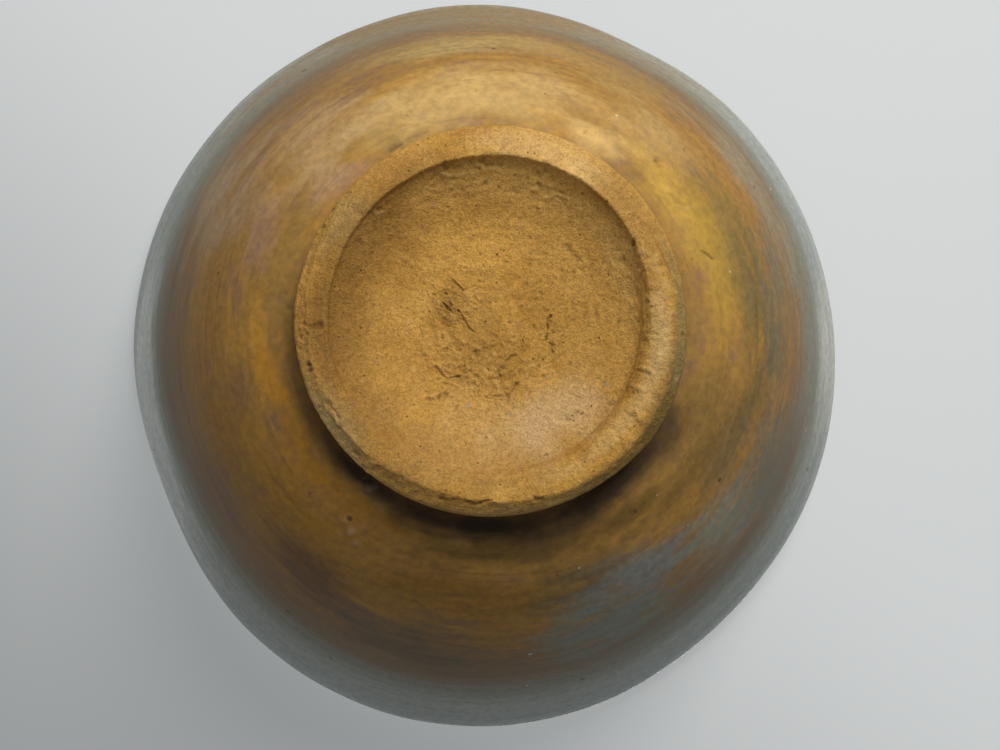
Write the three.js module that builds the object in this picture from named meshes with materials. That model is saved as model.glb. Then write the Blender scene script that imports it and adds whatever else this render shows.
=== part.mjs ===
// A hand-thrown stoneware tea bowl, standing on its foot ring.
// Millimetres, +Z up, origin at the centre of the foot ring's resting face.
// Four solids: the clay bowl, the foot ring luted under it, and the glaze coats fired on outside and inside.
import * as THREE from 'three';

// Mouth and wall of the clay bowl.
const BOWL_HEIGHT = 67.4;          // resting face to the clay's lip
const MOUTH_RADIUS = 70.4;         // outside of the clay where the lip begins to round over
const MOUTH_LEAN = 25;             // degrees that the wall leans out from upright at the mouth
const WALL_AT_MOUTH = 3.5;
const WALL_STRAIGHTNESS = 33;      // length of the upper wall's control arm: longer makes a straighter flare
const BELLY_REACH = 18;            // length of the lower wall's control arm, out from the foot
const BELLY_RISE = 8;              // degrees that the wall climbs where it leaves the foot
const FLOOR_THICKNESS = 6.2;       // clay between the foot's recess and the well
const WELL_REACH = 46;             // how far the flat of the well carries before the wall turns up
const INNER_WALL_ARM = 36;         // length of the upper inner wall's control arm
const OUT_OF_ROUND = 0.014;        // share by which the mouth is long in Y and narrow in X

// Foot ring.
const FOOT_RADIUS = 30.4;          // widest, at the lower edge of its outside
const FOOT_HEIGHT = 7.0;
const FOOT_UNDERCUT = 2.0;         // how far the ring draws in where it meets the bowl
const FOOT_BEVEL_WIDTH = 2.3;
const FOOT_BEVEL_HEIGHT = 2.2;
const FOOT_LAND_WIDTH = 2.6;       // the flat that the bowl stands on
const FOOT_INNER_ROUND = 0.5;      // soft inner edge of the land
const RECESS_FILLET = 5.0;         // plan width of the hollow curve inside the ring
const RECESS_DISH = 0.9;           // how much deeper the turned recess is than the ring's seat
const RECESS_BUTTON = 0.5;         // the low point left at the recess's centre by the trimming tool
const RECESS_BUTTON_RADIUS = 7.0;

// Glaze.
const OUTER_GLAZE = 0.55;
const INNER_GLAZE = 0.5;
const GLAZE_POOL = 0.9;            // extra depth of glaze lying in the well
const GLAZE_POOL_RADIUS = 22;
const GLAZE_CLEAR_OF_FOOT = 1.6;   // bare clay between the ring and the edge of the glaze

// How finely each stretch is stepped.
const ROUND_STEPS = 48;
const WALL_STEPS = 10;
const LIP_STEPS = 6;               // even, so that one step falls on the crest of the lip
const RECESS_STEPS = 5;
const FILLET_STEPS = 5;

const clayColour = 0xbf8f55;
const outerGlazeColour = 0x8a6a35;
const innerGlazeColour = 0xa08048;

const point = (r, z) => new THREE.Vector2(r, z);

/** A point at a length from another, at an angle in degrees above level. */
function away(from, length, degrees) {
  const angle = THREE.MathUtils.degToRad(degrees);
  return point(from.x + length * Math.cos(angle), from.y + length * Math.sin(angle));
}

// Places that the pieces share.
const footSeatRadius = FOOT_RADIUS - FOOT_UNDERCUT;
const landOuterRadius = FOOT_RADIUS - FOOT_BEVEL_WIDTH;
const landInnerRadius = landOuterRadius - FOOT_LAND_WIDTH;
const recessRadius = landInnerRadius - FOOT_INNER_ROUND - RECESS_FILLET;
const wellHeight = FOOT_HEIGHT + RECESS_DISH + FLOOR_THICKNESS;
const mouthLean = THREE.MathUtils.degToRad(MOUTH_LEAN);
const lipRadius = WALL_AT_MOUTH / 2;
const lipRise = lipRadius * (1 + Math.sin(mouthLean));

/** The turned ceiling of the recess, from its centre out to the ring's seat. */
function recessHeight(r) {
  const share = r / recessRadius;
  const button = RECESS_BUTTON * Math.exp(-((r / RECESS_BUTTON_RADIUS) ** 2));
  const buttonAtEdge = RECESS_BUTTON * Math.exp(-((recessRadius / RECESS_BUTTON_RADIUS) ** 2));
  return FOOT_HEIGHT + RECESS_DISH * (1 - share ** 4) - button + buttonAtEdge;
}

/** The clay's outside, from the foot ring's seat up to where the lip starts to round over. */
function outerWall() {
  const start = point(footSeatRadius, FOOT_HEIGHT);
  const end = point(MOUTH_RADIUS, BOWL_HEIGHT - lipRise);
  const curve = new THREE.CubicBezierCurve(
    start,
    away(start, BELLY_REACH, BELLY_RISE),
    away(end, WALL_STRAIGHTNESS, 270 - MOUTH_LEAN),
    end,
  );
  const glazeEdge = GLAZE_CLEAR_OF_FOOT / (3 * BELLY_REACH);
  const points = [start, curve.getPoint(glazeEdge)];
  for (let i = 1; i <= WALL_STEPS; i++) points.push(curve.getPoint(i / WALL_STEPS));
  return points;
}

/** The lip: a half round across the wall's thickness, square to the wall's lean. */
function lip() {
  const outer = point(MOUTH_RADIUS, BOWL_HEIGHT - lipRise);
  const centre = away(outer, lipRadius, 180 - MOUTH_LEAN);
  const points = [];
  for (let i = 1; i <= LIP_STEPS; i++) {
    points.push(away(centre, lipRadius, -MOUTH_LEAN + (180 * i) / LIP_STEPS));
  }
  return points;
}

/** The clay's inside, from the lip down to the centre of the well. */
function innerWall() {
  const outer = point(MOUTH_RADIUS, BOWL_HEIGHT - lipRise);
  const start = away(outer, WALL_AT_MOUTH, 180 - MOUTH_LEAN);
  const centre = point(0, wellHeight);
  const curve = new THREE.CubicBezierCurve(
    start,
    away(start, INNER_WALL_ARM, 270 - MOUTH_LEAN),
    point(WELL_REACH, wellHeight),
    centre,
  );
  const points = [];
  for (let i = 1; i <= WALL_STEPS; i++) points.push(curve.getPoint(i / WALL_STEPS));
  return points;
}

/** Each point moved out of the clay by the coat's thickness there, square to the surface. */
function coatOver(surface, from, to, thicknessAt) {
  const coated = [];
  for (let i = from; i <= to; i++) {
    const before = surface[Math.max(i - 1, 0)];
    const after = surface[Math.min(i + 1, surface.length - 1)];
    const along = after.clone().sub(before).normalize();
    const out = point(along.y, -along.x);
    if (surface[i].x === 0) out.set(0, 1);
    coated.push(surface[i].clone().addScaledVector(out, thicknessAt(surface[i])));
  }
  return coated;
}

/** Draws a turned solid out of round, nothing at the foot and most at the mouth. */
function drawOutOfRound(geometry) {
  const places = geometry.getAttribute('position');
  for (let i = 0; i < places.count; i++) {
    const rise = (places.getZ(i) - FOOT_HEIGHT) / (BOWL_HEIGHT - FOOT_HEIGHT);
    const share = OUT_OF_ROUND * THREE.MathUtils.smoothstep(rise, 0, 1);
    places.setX(i, places.getX(i) * (1 - share));
    places.setY(i, places.getY(i) * (1 + share));
  }
  return geometry;
}

/** Splits every four-sided facet the same way on the surfaces of two pieces that touch. */
function splitFacetsAlike(geometry, outline) {
  const index = geometry.getIndex();
  const stretches = outline.length - 1;
  for (let facet = 0; facet < index.count / 6; facet++) {
    const from = outline[facet % stretches];
    const to = outline[(facet % stretches) + 1];
    const climbs = from.y === to.y ? to.x > from.x : to.y > from.y;
    if (climbs) continue;
    const first = facet * 6;
    const [a, b, d, c] = [0, 1, 2, 3].map((corner) => index.getX(first + corner));
    [a, b, c, a, c, d].forEach((corner, place) => index.setX(first + place, corner));
  }
}

/** A named solid turned from an outline of radius and height. */
function turned(name, outline, colour, roughness) {
  const geometry = new THREE.LatheGeometry(outline, ROUND_STEPS);
  splitFacetsAlike(geometry, outline);
  geometry.rotateX(Math.PI / 2);
  drawOutOfRound(geometry);
  const material = new THREE.MeshStandardMaterial({ color: colour, roughness, metalness: 0 });
  const mesh = new THREE.Mesh(geometry, material);
  mesh.name = name;
  return mesh;
}

/** The clay bowl: recess ceiling, flat seat for the ring, outer wall, lip, inner wall and well. */
function clayBowl(surface) {
  const underside = [];
  for (let i = 0; i <= RECESS_STEPS; i++) {
    const r = (recessRadius * i) / RECESS_STEPS;
    underside.push(point(r, recessHeight(r)));
  }
  return turned('clay_bowl', [...underside, ...surface], clayColour, 0.9);
}

/** The foot ring: undercut outside, bevel, land, and a hollow curve up to the recess. */
function footRing() {
  const outline = [point(recessRadius, FOOT_HEIGHT)];
  const filletRise = FOOT_HEIGHT - FOOT_INNER_ROUND;
  const grazing = Math.PI / 9;       // the hollow curve meets the recess at this angle, so its edge isn't paper thin
  for (let i = 1; i <= FILLET_STEPS; i++) {
    const turn = grazing + ((Math.PI / 2 - grazing) * i) / FILLET_STEPS;
    const across = (Math.sin(turn) - Math.sin(grazing)) / (1 - Math.sin(grazing));
    outline.push(point(
      recessRadius + RECESS_FILLET * across,
      FOOT_HEIGHT - filletRise * (1 - Math.cos(turn) / Math.cos(grazing)),
    ));
  }
  outline.push(
    point(landInnerRadius, 0),
    point(landOuterRadius, 0),
    point(FOOT_RADIUS, FOOT_BEVEL_HEIGHT),
    point(footSeatRadius, FOOT_HEIGHT),
    point(recessRadius, FOOT_HEIGHT),
  );
  return turned('foot_ring', outline, clayColour, 0.95);
}

/** The outer glaze: a skin from just outside the foot ring up to the crest of the lip. */
function outerGlaze(surface, crest) {
  const under = surface.slice(1, crest + 1);
  const over = coatOver(surface, 2, crest, () => OUTER_GLAZE);
  return turned('outer_glaze', closed([...over, ...under.reverse()]), outerGlazeColour, 0.35);
}

/** The inner glaze: a skin from the crest of the lip down to the pool lying in the well. */
function innerGlaze(surface, crest) {
  const last = surface.length - 1;
  const thicknessAt = (place) => {
    const pool = 1 - THREE.MathUtils.smoothstep(place.x, 0, GLAZE_POOL_RADIUS);
    return INNER_GLAZE + (place.y < BOWL_HEIGHT / 2 ? GLAZE_POOL * pool : 0);
  };
  const crestOver = coatOver(surface, crest, crest, () => OUTER_GLAZE);
  const over = [...crestOver, ...coatOver(surface, crest + 1, last, thicknessAt)];
  const under = surface.slice(crest, last + 1).reverse();
  return turned('inner_glaze', [...under, ...over], innerGlazeColour, 0.25);
}

/** The outline with its first point repeated at the end. */
function closed(outline) {
  return [...outline, outline[0].clone()];
}

const surface = [...outerWall(), ...lip(), ...innerWall()];
const crest = 1 + WALL_STEPS + LIP_STEPS / 2;

const teaBowl = new THREE.Group();
teaBowl.name = 'tea_bowl';
teaBowl.add(clayBowl(surface), footRing(), outerGlaze(surface, crest), innerGlaze(surface, crest));

export default teaBowl;
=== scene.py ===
"""A thrown stoneware tea bowl: fired clay, foot ring and two glaze coats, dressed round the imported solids."""

import logging
import math
from dataclasses import dataclass
from enum import Enum

import bpy
import numpy as np
from mathutils import Matrix, Vector


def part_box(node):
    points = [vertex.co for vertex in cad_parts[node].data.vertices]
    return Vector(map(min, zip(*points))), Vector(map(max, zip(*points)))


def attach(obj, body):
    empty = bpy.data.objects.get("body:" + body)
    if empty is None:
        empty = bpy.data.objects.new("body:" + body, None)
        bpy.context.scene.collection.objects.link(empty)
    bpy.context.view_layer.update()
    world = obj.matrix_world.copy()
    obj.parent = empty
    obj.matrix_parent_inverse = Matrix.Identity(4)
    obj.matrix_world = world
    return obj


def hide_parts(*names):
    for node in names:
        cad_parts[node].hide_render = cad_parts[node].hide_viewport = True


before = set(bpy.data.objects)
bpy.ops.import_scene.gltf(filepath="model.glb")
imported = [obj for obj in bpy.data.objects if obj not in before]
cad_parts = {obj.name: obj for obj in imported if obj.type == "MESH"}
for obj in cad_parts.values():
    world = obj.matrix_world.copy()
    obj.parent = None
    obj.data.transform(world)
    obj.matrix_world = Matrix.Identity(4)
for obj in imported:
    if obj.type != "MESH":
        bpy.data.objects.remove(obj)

MM = 0.001
BODY = "root"
LOG = logging.getLogger("tea_bowl")

NUMBER = "NodeSocketFloat"
VECTOR = "NodeSocketVector"
MERGE_WITHIN = 0.002           # millimetres between points that are one point
SMOOTH_BELOW = 38              # degrees between faces that shade as one surface

Place = tuple[float, float]
Span = tuple[float, float]
Direction = tuple[float, float, float]
Colour = tuple[int, int, int]  # as a screen shows it, from 0 to 255
Socket = bpy.types.NodeSocket


def linear(colour: Colour) -> tuple[float, ...]:
    """Turns a colour as a screen shows it into the linear colour that a shader takes.

    Args:
        colour: its red, green and blue, from 0 to 255.

    Returns:
        The linear colour with full alpha.
    """
    shares = [part / 255 for part in colour]
    return *(s / 12.92 if s <= 0.04045 else ((s + 0.055) / 1.055) ** 2.4 for s in shares), 1.0


def smoothstep(low: float, high: float, value: np.ndarray) -> np.ndarray:
    """Runs softly from 0 at low to 1 at high.

    Args:
        low, high: where the step starts and ends.
        value: the numbers to grade.

    Returns:
        The graded numbers.
    """
    share = np.clip((value - low) / (high - low), 0.0, 1.0)
    return share * share * (3.0 - 2.0 * share)


def bump_at(value: np.ndarray, middle: float, reach: float) -> np.ndarray:
    """A soft hump that is 1 at the middle and fades over the reach on both sides."""
    return np.exp(-((value - middle) / reach) ** 2)


class Resolution(Enum):
    """How finely a turned piece is stepped round the wheel."""

    FOOT = 660
    WALL = 600
    INSIDE = 360


# Outlines, in millimetres of radius and height.


def bezier(ends_and_arms: list[Place], step: float) -> list[Place]:
    """Draws a cubic curve with points about a step apart.

    Args:
        ends_and_arms: start, its arm's end, the other arm's end, and the end.
        step: distance between points, in millimetres.

    Returns:
        The points, with both ends.
    """
    a, b, c, d = (np.array(p, float) for p in ends_and_arms)
    rough = np.linalg.norm(b - a) + np.linalg.norm(c - b) + np.linalg.norm(d - c)
    t = np.linspace(0.0, 1.0, max(4, int(rough / step)))[:, None]
    u = 1.0 - t
    curve = u ** 3 * a + 3 * u ** 2 * t * b + 3 * u * t ** 2 * c + t ** 3 * d
    return [tuple(p) for p in curve]


def rounded(corners: list[tuple[float, float, float]], step: float) -> list[Place]:
    """Joins corners with straight stretches and rounds each corner off.

    Args:
        corners: radius, height and rounding of each corner.
        step: distance between points, in millimetres.

    Returns:
        The points of the whole outline, with both ends.
    """
    points: list[Place] = []
    places = [np.array(c[:2], float) for c in corners]
    for i, (place, corner) in enumerate(zip(places, corners)):
        if i in (0, len(corners) - 1) or corner[2] == 0:
            stretch = [place]
        else:
            back = places[i - 1] - place
            on = places[i + 1] - place
            start = place + back / np.linalg.norm(back) * min(corner[2], np.linalg.norm(back) / 2)
            end = place + on / np.linalg.norm(on) * min(corner[2], np.linalg.norm(on) / 2)
            turn = np.linspace(0.0, 1.0, 3 + int(2.2 * corner[2] / step))[:, None]
            stretch = list((1 - turn) ** 2 * start + 2 * (1 - turn) * turn * place + turn ** 2 * end)
        if points:
            gap = stretch[0] - np.array(points[-1])
            count = int(np.linalg.norm(gap) / step)
            points += [tuple(np.array(points[-1]) + gap * k / (count + 1)) for k in range(1, count + 1)]
        points += [tuple(p) for p in stretch]
    return points


def coated(surface: list[Place], thickness: list[float]) -> list[Place]:
    """Moves each point of an outline out of the clay by the coat's thickness there.

    Args:
        surface: the clay's outline, run so that the clay is on its left.
        thickness: the coat at each point, in millimetres.

    Returns:
        The coat's outer outline.
    """
    places = np.array(surface)
    along = np.gradient(places, axis=0)
    along /= np.linalg.norm(along, axis=1)[:, None]
    out = np.stack([along[:, 1], -along[:, 0]], axis=1)
    return [tuple(p) for p in places + out * np.array(thickness)[:, None]]


def away(place: Place, length: float, degrees: float) -> Place:
    """The place at a length from another, at an angle above level."""
    angle = math.radians(degrees)
    return place[0] + length * math.cos(angle), place[1] + length * math.sin(angle)


@dataclass(frozen=True)
class BowlForm:
    """The outlines that the bowl's pieces share, in millimetres and degrees.

    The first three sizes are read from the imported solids. The fields from recess_fill on shape the hollow
    between the recess and the ring, and the hidden joint of the two.
    """

    clay_height: float
    foot_radius: float
    foot_height: float
    mouth_radius: float = 70.4
    mouth_lean: float = 25.0
    wall_at_mouth: float = 3.5
    upper_arm: float = 33.0
    belly_reach: float = 18.0
    belly_rise: float = 8.0
    floor_thickness: float = 6.2
    well_reach: float = 46.0
    inner_arm: float = 36.0
    out_of_round: float = 0.014
    foot_undercut: float = 2.0
    bevel_width: float = 2.3
    bevel_height: float = 2.2
    land_width: float = 2.6
    inner_round: float = 0.5
    recess_fillet: float = 5.0
    recess_dish: float = 0.9
    recess_button: float = 0.5
    recess_button_radius: float = 7.0
    glaze_clear_of_foot: float = 1.6
    recess_fill: float = 0.5
    hollow_start: float = 9.5
    hollow_drop: float = 1.5
    hollow_arm: float = 2.05
    hollow_slope: float = 25.0
    hollow_end_slope: float = 50.0
    step_height: float = 1.1
    step_lean: float = 0.25
    step_set_back: float = 0.1
    curl_reach: float = 0.62
    tongue: float = 0.3

    @classmethod
    def from_frame(cls) -> "BowlForm":
        """Reads the bowl's height and the foot ring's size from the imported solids.

        Returns:
            The form.
        """
        _, clay_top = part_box("clay_bowl")
        _, ring_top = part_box("foot_ring")
        return cls(clay_top.z / MM, ring_top.x / MM, ring_top.z / MM)

    @property
    def seat_radius(self) -> float:
        """Where the ring's outside meets the bowl."""
        return self.foot_radius - self.foot_undercut

    @property
    def land_outer(self) -> float:
        """The outer edge of the land that the bowl stands on."""
        return self.foot_radius - self.bevel_width

    @property
    def land_inner(self) -> float:
        """The inner edge of the land."""
        return self.land_outer - self.land_width

    @property
    def recess_radius(self) -> float:
        """Where the ring's hollow inner curve meets the recess's ceiling."""
        return self.land_inner - self.inner_round - self.recess_fillet

    @property
    def well_height(self) -> float:
        """The clay's height at the middle of the well."""
        return self.foot_height + self.recess_dish + self.floor_thickness

    @property
    def lip_start(self) -> Place:
        """The outside of the wall where the lip begins to round over."""
        radius = self.wall_at_mouth / 2
        return self.mouth_radius, self.clay_height - radius * (1 + math.sin(math.radians(self.mouth_lean)))

    def outer_wall(self, step: float) -> list[Place]:
        """The clay's outside, from the ring's seat to the lip.

        Args:
            step: distance between points, in millimetres.

        Returns:
            The points, with both ends.
        """
        start = (self.seat_radius, self.foot_height)
        end = self.lip_start
        arm_out = away(start, self.belly_reach, self.belly_rise)
        arm_down = away(end, self.upper_arm, 270 - self.mouth_lean)
        return bezier([start, arm_out, arm_down, end], step)

    def lip(self, step: float) -> list[Place]:
        """The half round across the wall's thickness, outside to inside.

        Args:
            step: distance between points, in millimetres.

        Returns:
            The points between the lip's two ends.
        """
        radius = self.wall_at_mouth / 2
        centre = away(self.lip_start, radius, 180 - self.mouth_lean)
        count = 2 * max(4, int(math.pi * radius / step / 2))
        return [away(centre, radius, 180 * i / count - self.mouth_lean) for i in range(1, count)]

    def inner_wall(self, step: float) -> list[Place]:
        """The clay's inside, from the lip to the middle of the well.

        Args:
            step: distance between points, in millimetres.

        Returns:
            The points, with both ends.
        """
        start = away(self.lip_start, self.wall_at_mouth, 180 - self.mouth_lean)
        arm_down = away(start, self.inner_arm, 270 - self.mouth_lean)
        return bezier([start, arm_down, (self.well_reach, self.well_height), (0.0, self.well_height)], step)

    @property
    def joint_height(self) -> float:
        """The height at which the recess's ceiling runs into the ring."""
        return self.foot_height - self.recess_fill - self.hollow_drop

    @property
    def knee(self) -> Place:
        """Where the ring's hollow curve breaks into the small upright step inside the land."""
        return self.land_inner - self.step_set_back - self.step_lean, self.step_height

    def recess_ceiling(self, fine: float, coarse: float) -> list[Place]:
        """The trimmed ceiling of the recess, from its middle out to the ring.

        Args:
            fine: distance between points near the middle, where the torn curl is.
            coarse: distance between points further out.

        Returns:
            The points, with both ends.
        """
        at_edge = math.exp(-((self.recess_radius / self.recess_button_radius) ** 2))
        middle = self.curl_reach * self.recess_radius
        outer_count = int((self.recess_radius - middle) / coarse)
        stops = list(np.linspace(0, middle, int(middle / fine)))
        stops += list(np.linspace(middle, self.recess_radius, outer_count))[1:]
        points = []
        for radius in stops:
            share = radius / self.recess_radius
            button = self.recess_button * (math.exp(-((radius / self.recess_button_radius) ** 2)) - at_edge)
            sweep = max(0.0, (radius - self.hollow_start) / (self.recess_radius - self.hollow_start))
            height = self.foot_height - self.recess_fill + self.recess_dish * (1 - share ** 4) - button
            points.append((float(radius), height - self.hollow_drop * sweep ** 2))
        return points

    def luted_joint(self) -> list[Place]:
        """The hidden joint of ring and bowl, from the recess out to the ring's seat, with a low tongue.

        Returns:
            The four corners.
        """
        inner, outer = self.recess_radius, self.seat_radius
        raised = self.foot_height + self.tongue
        return [(inner, self.joint_height), (inner + self.tongue, raised), (outer - self.tongue, raised),
                (outer, self.foot_height)]

    def ring_hollow(self, step: float) -> list[Place]:
        """The ring's hollow inner curve, from the recess's ceiling down to the step inside the land.

        Args:
            step: distance between points, in millimetres.

        Returns:
            The points, with both ends.
        """
        start = (self.recess_radius, self.joint_height)
        arm_in = away(start, self.hollow_arm, -self.hollow_slope)
        arm_up = away(self.knee, self.hollow_arm, 180 - self.hollow_end_slope)
        return bezier([start, arm_in, arm_up, self.knee], step)


# Turning and hand work.


def only(piece: bpy.types.Object) -> None:
    """Makes one piece the only selected and active object.

    Args:
        piece: the piece.
    """
    bpy.ops.object.select_all(action="DESELECT")
    piece.select_set(True)
    bpy.context.view_layer.objects.active = piece


def turn(name: str, outline: list[Place], steps: int) -> bpy.types.Object:
    """Throws a solid: draws its half outline point by point, then turns it once round the wheel's axis.

    Args:
        name: the piece's name.
        outline: radius and height of each point, from axis to axis or closed on itself.
        steps: how many steps make the round.

    Returns:
        The closed, smooth-shaded piece, at the origin.
    """
    bpy.ops.object.select_all(action="DESELECT")
    bpy.ops.mesh.primitive_plane_add(size=MM)
    piece = bpy.context.object
    piece.name = piece.data.name = name
    bpy.ops.object.mode_set(mode="EDIT")
    bpy.ops.mesh.select_all(action="SELECT")
    bpy.ops.mesh.merge(type="CENTER")
    bpy.ops.transform.translate(value=(outline[0][0] * MM, 0, outline[0][1] * MM))
    for (r0, z0), (r1, z1) in zip(outline, outline[1:]):
        move = ((r1 - r0) * MM, 0, (z1 - z0) * MM)
        bpy.ops.mesh.extrude_region_move(TRANSFORM_OT_translate={"value": move})
    bpy.ops.object.mode_set(mode="OBJECT")
    wheel = piece.modifiers.new("wheel", "SCREW")
    wheel.angle = 2 * math.pi
    wheel.steps = wheel.render_steps = steps
    wheel.use_merge_vertices = True
    wheel.merge_threshold = MERGE_WITHIN * MM
    bpy.ops.object.modifier_apply(modifier=wheel.name)
    close_and_smooth(piece)
    return piece


def close_and_smooth(piece: bpy.types.Object) -> None:
    """Merges the seam and poles, turns every face outwards and shades it smooth.

    Args:
        piece: the turned piece.
    """
    only(piece)
    bpy.ops.object.mode_set(mode="EDIT")
    bpy.ops.mesh.select_all(action="SELECT")
    bpy.ops.mesh.remove_doubles(threshold=MERGE_WITHIN * MM)
    bpy.ops.mesh.normals_make_consistent(inside=False)
    bpy.ops.object.mode_set(mode="OBJECT")
    bpy.ops.object.shade_smooth_by_angle(angle=math.radians(SMOOTH_BELOW))


@dataclass(frozen=True)
class Stroke:
    """A mark in the soft clay, drawn along a line of places on the underside, in millimetres.

    A crack or scar has a positive depth, a ridge a negative one. The value after the depth, up to 1, darkens
    the
    mark: partly its fired colour, partly painted shade in the crack or pit. Below 0 it paints the mark pale:
    partly torn clay and chalky grains, partly painted light on raised lips and small glints. Wander is how
    uneven it runs.
    """

    path: tuple[Place, ...]
    width: float
    depth: float
    stain_and_painted_light: float = 0.0
    raised_lip: float = 0.0
    wander: float = 0.25

    def distance(self, x: np.ndarray, y: np.ndarray) -> np.ndarray:
        """How far each place lies from the line.

        Args:
            x, y: places in millimetres.

        Returns:
            The distances, in millimetres.
        """
        nearest = np.full(x.shape, np.inf)
        stops = self.path if len(self.path) > 1 else self.path * 2
        for (x0, y0), (x1, y1) in zip(stops, stops[1:]):
            length = (x1 - x0) ** 2 + (y1 - y0) ** 2
            if length > 0:
                share = np.clip(((x - x0) * (x1 - x0) + (y - y0) * (y1 - y0)) / length, 0, 1)
            else:
                share = np.zeros_like(x)
            gap = np.hypot(x - x0 - share * (x1 - x0), y - y0 - share * (y1 - y0))
            nearest = np.minimum(nearest, gap)
        return nearest


@dataclass(frozen=True)
class TornCrumbs:
    """Small tears and grains pulled up along the turning direction, within a reach of their middle.

    The seed picks one of many such scatters, and a size of 1 is for the finest clay.
    """

    middle: Place
    reach: float
    count: int
    seed: int
    size: float = 1.0

    def strokes(self) -> list[Stroke]:
        """Scatters the marks, each one a raised grain or a small tear.

        Returns:
            The marks.
        """
        rng = np.random.default_rng(self.seed)
        size = self.size
        crumbs = []
        for _ in range(self.count):
            bearing, distance = rng.uniform(0, 2 * math.pi), self.reach * math.sqrt(rng.uniform(0.02, 1))
            x = self.middle[0] + distance * math.cos(bearing)
            y = self.middle[1] + distance * math.sin(bearing)
            along = math.atan2(y, x) + math.pi / 2 + rng.normal(0, 1.1)
            length = size * rng.uniform(0.05, 0.5)
            path = ((x, y), (x + length * math.cos(along), y + length * math.sin(along)))
            deep = rng.uniform(0.04, 0.16) * size
            if rng.uniform() < 0.35:
                crumbs.append(Stroke(path, 0.18 * size, -deep, -0.20, 0.0, 0.7))
            else:
                stain_and_painted_light = rng.uniform(0.08, 0.46)
                crumbs.append(Stroke(path, rng.uniform(0.09, 0.18) * size, deep, stain_and_painted_light, 0.04 * size, 0.7))
        return crumbs


@dataclass(frozen=True)
class Grain:
    """One layer of unevenness: its height and its lumps' size in millimetres, and which pattern it is."""

    height: float
    size: float
    seed: int


@dataclass(frozen=True)
class Wave:
    """A wave round the wheel: its height in millimetres, how often it comes round, and where it starts."""

    height: float
    count: int
    start: float


@dataclass(frozen=True)
class Ridges:
    """Throwing ridges: height and spacing along the wall in millimetres, lean round the wheel, and start."""

    height: float
    spacing: float
    lean: int
    start: float = 0.0

    def over(self, along: np.ndarray, bearing: np.ndarray) -> np.ndarray:
        """How far the ridges stand out at places along the wall and bearings round it."""
        return self.height * np.sin(along * 2 * math.pi / self.spacing + self.lean * bearing + self.start)


@dataclass(frozen=True)
class Squeeze:
    """A place where a hand pressed the wet clay in, or let it swell out: bearing and spread in degrees."""

    bearing: float
    spread: float
    outwards: float


MOUTH_SQUEEZES = (
    Squeeze(115, 17, -1.45),
    Squeeze(-23, 19, -2.05),
    Squeeze(-132, 24, -1.30),
    Squeeze(35, 20, 0.45),
    Squeeze(-76, 14, 0.30),
)
MOUTH_DRAWN_IN = -0.12
MOUTH_SWAY = (Wave(0.30, 2, 0.9), Wave(0.18, 3, -1.2), Wave(0.10, 5, 0.4))


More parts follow.
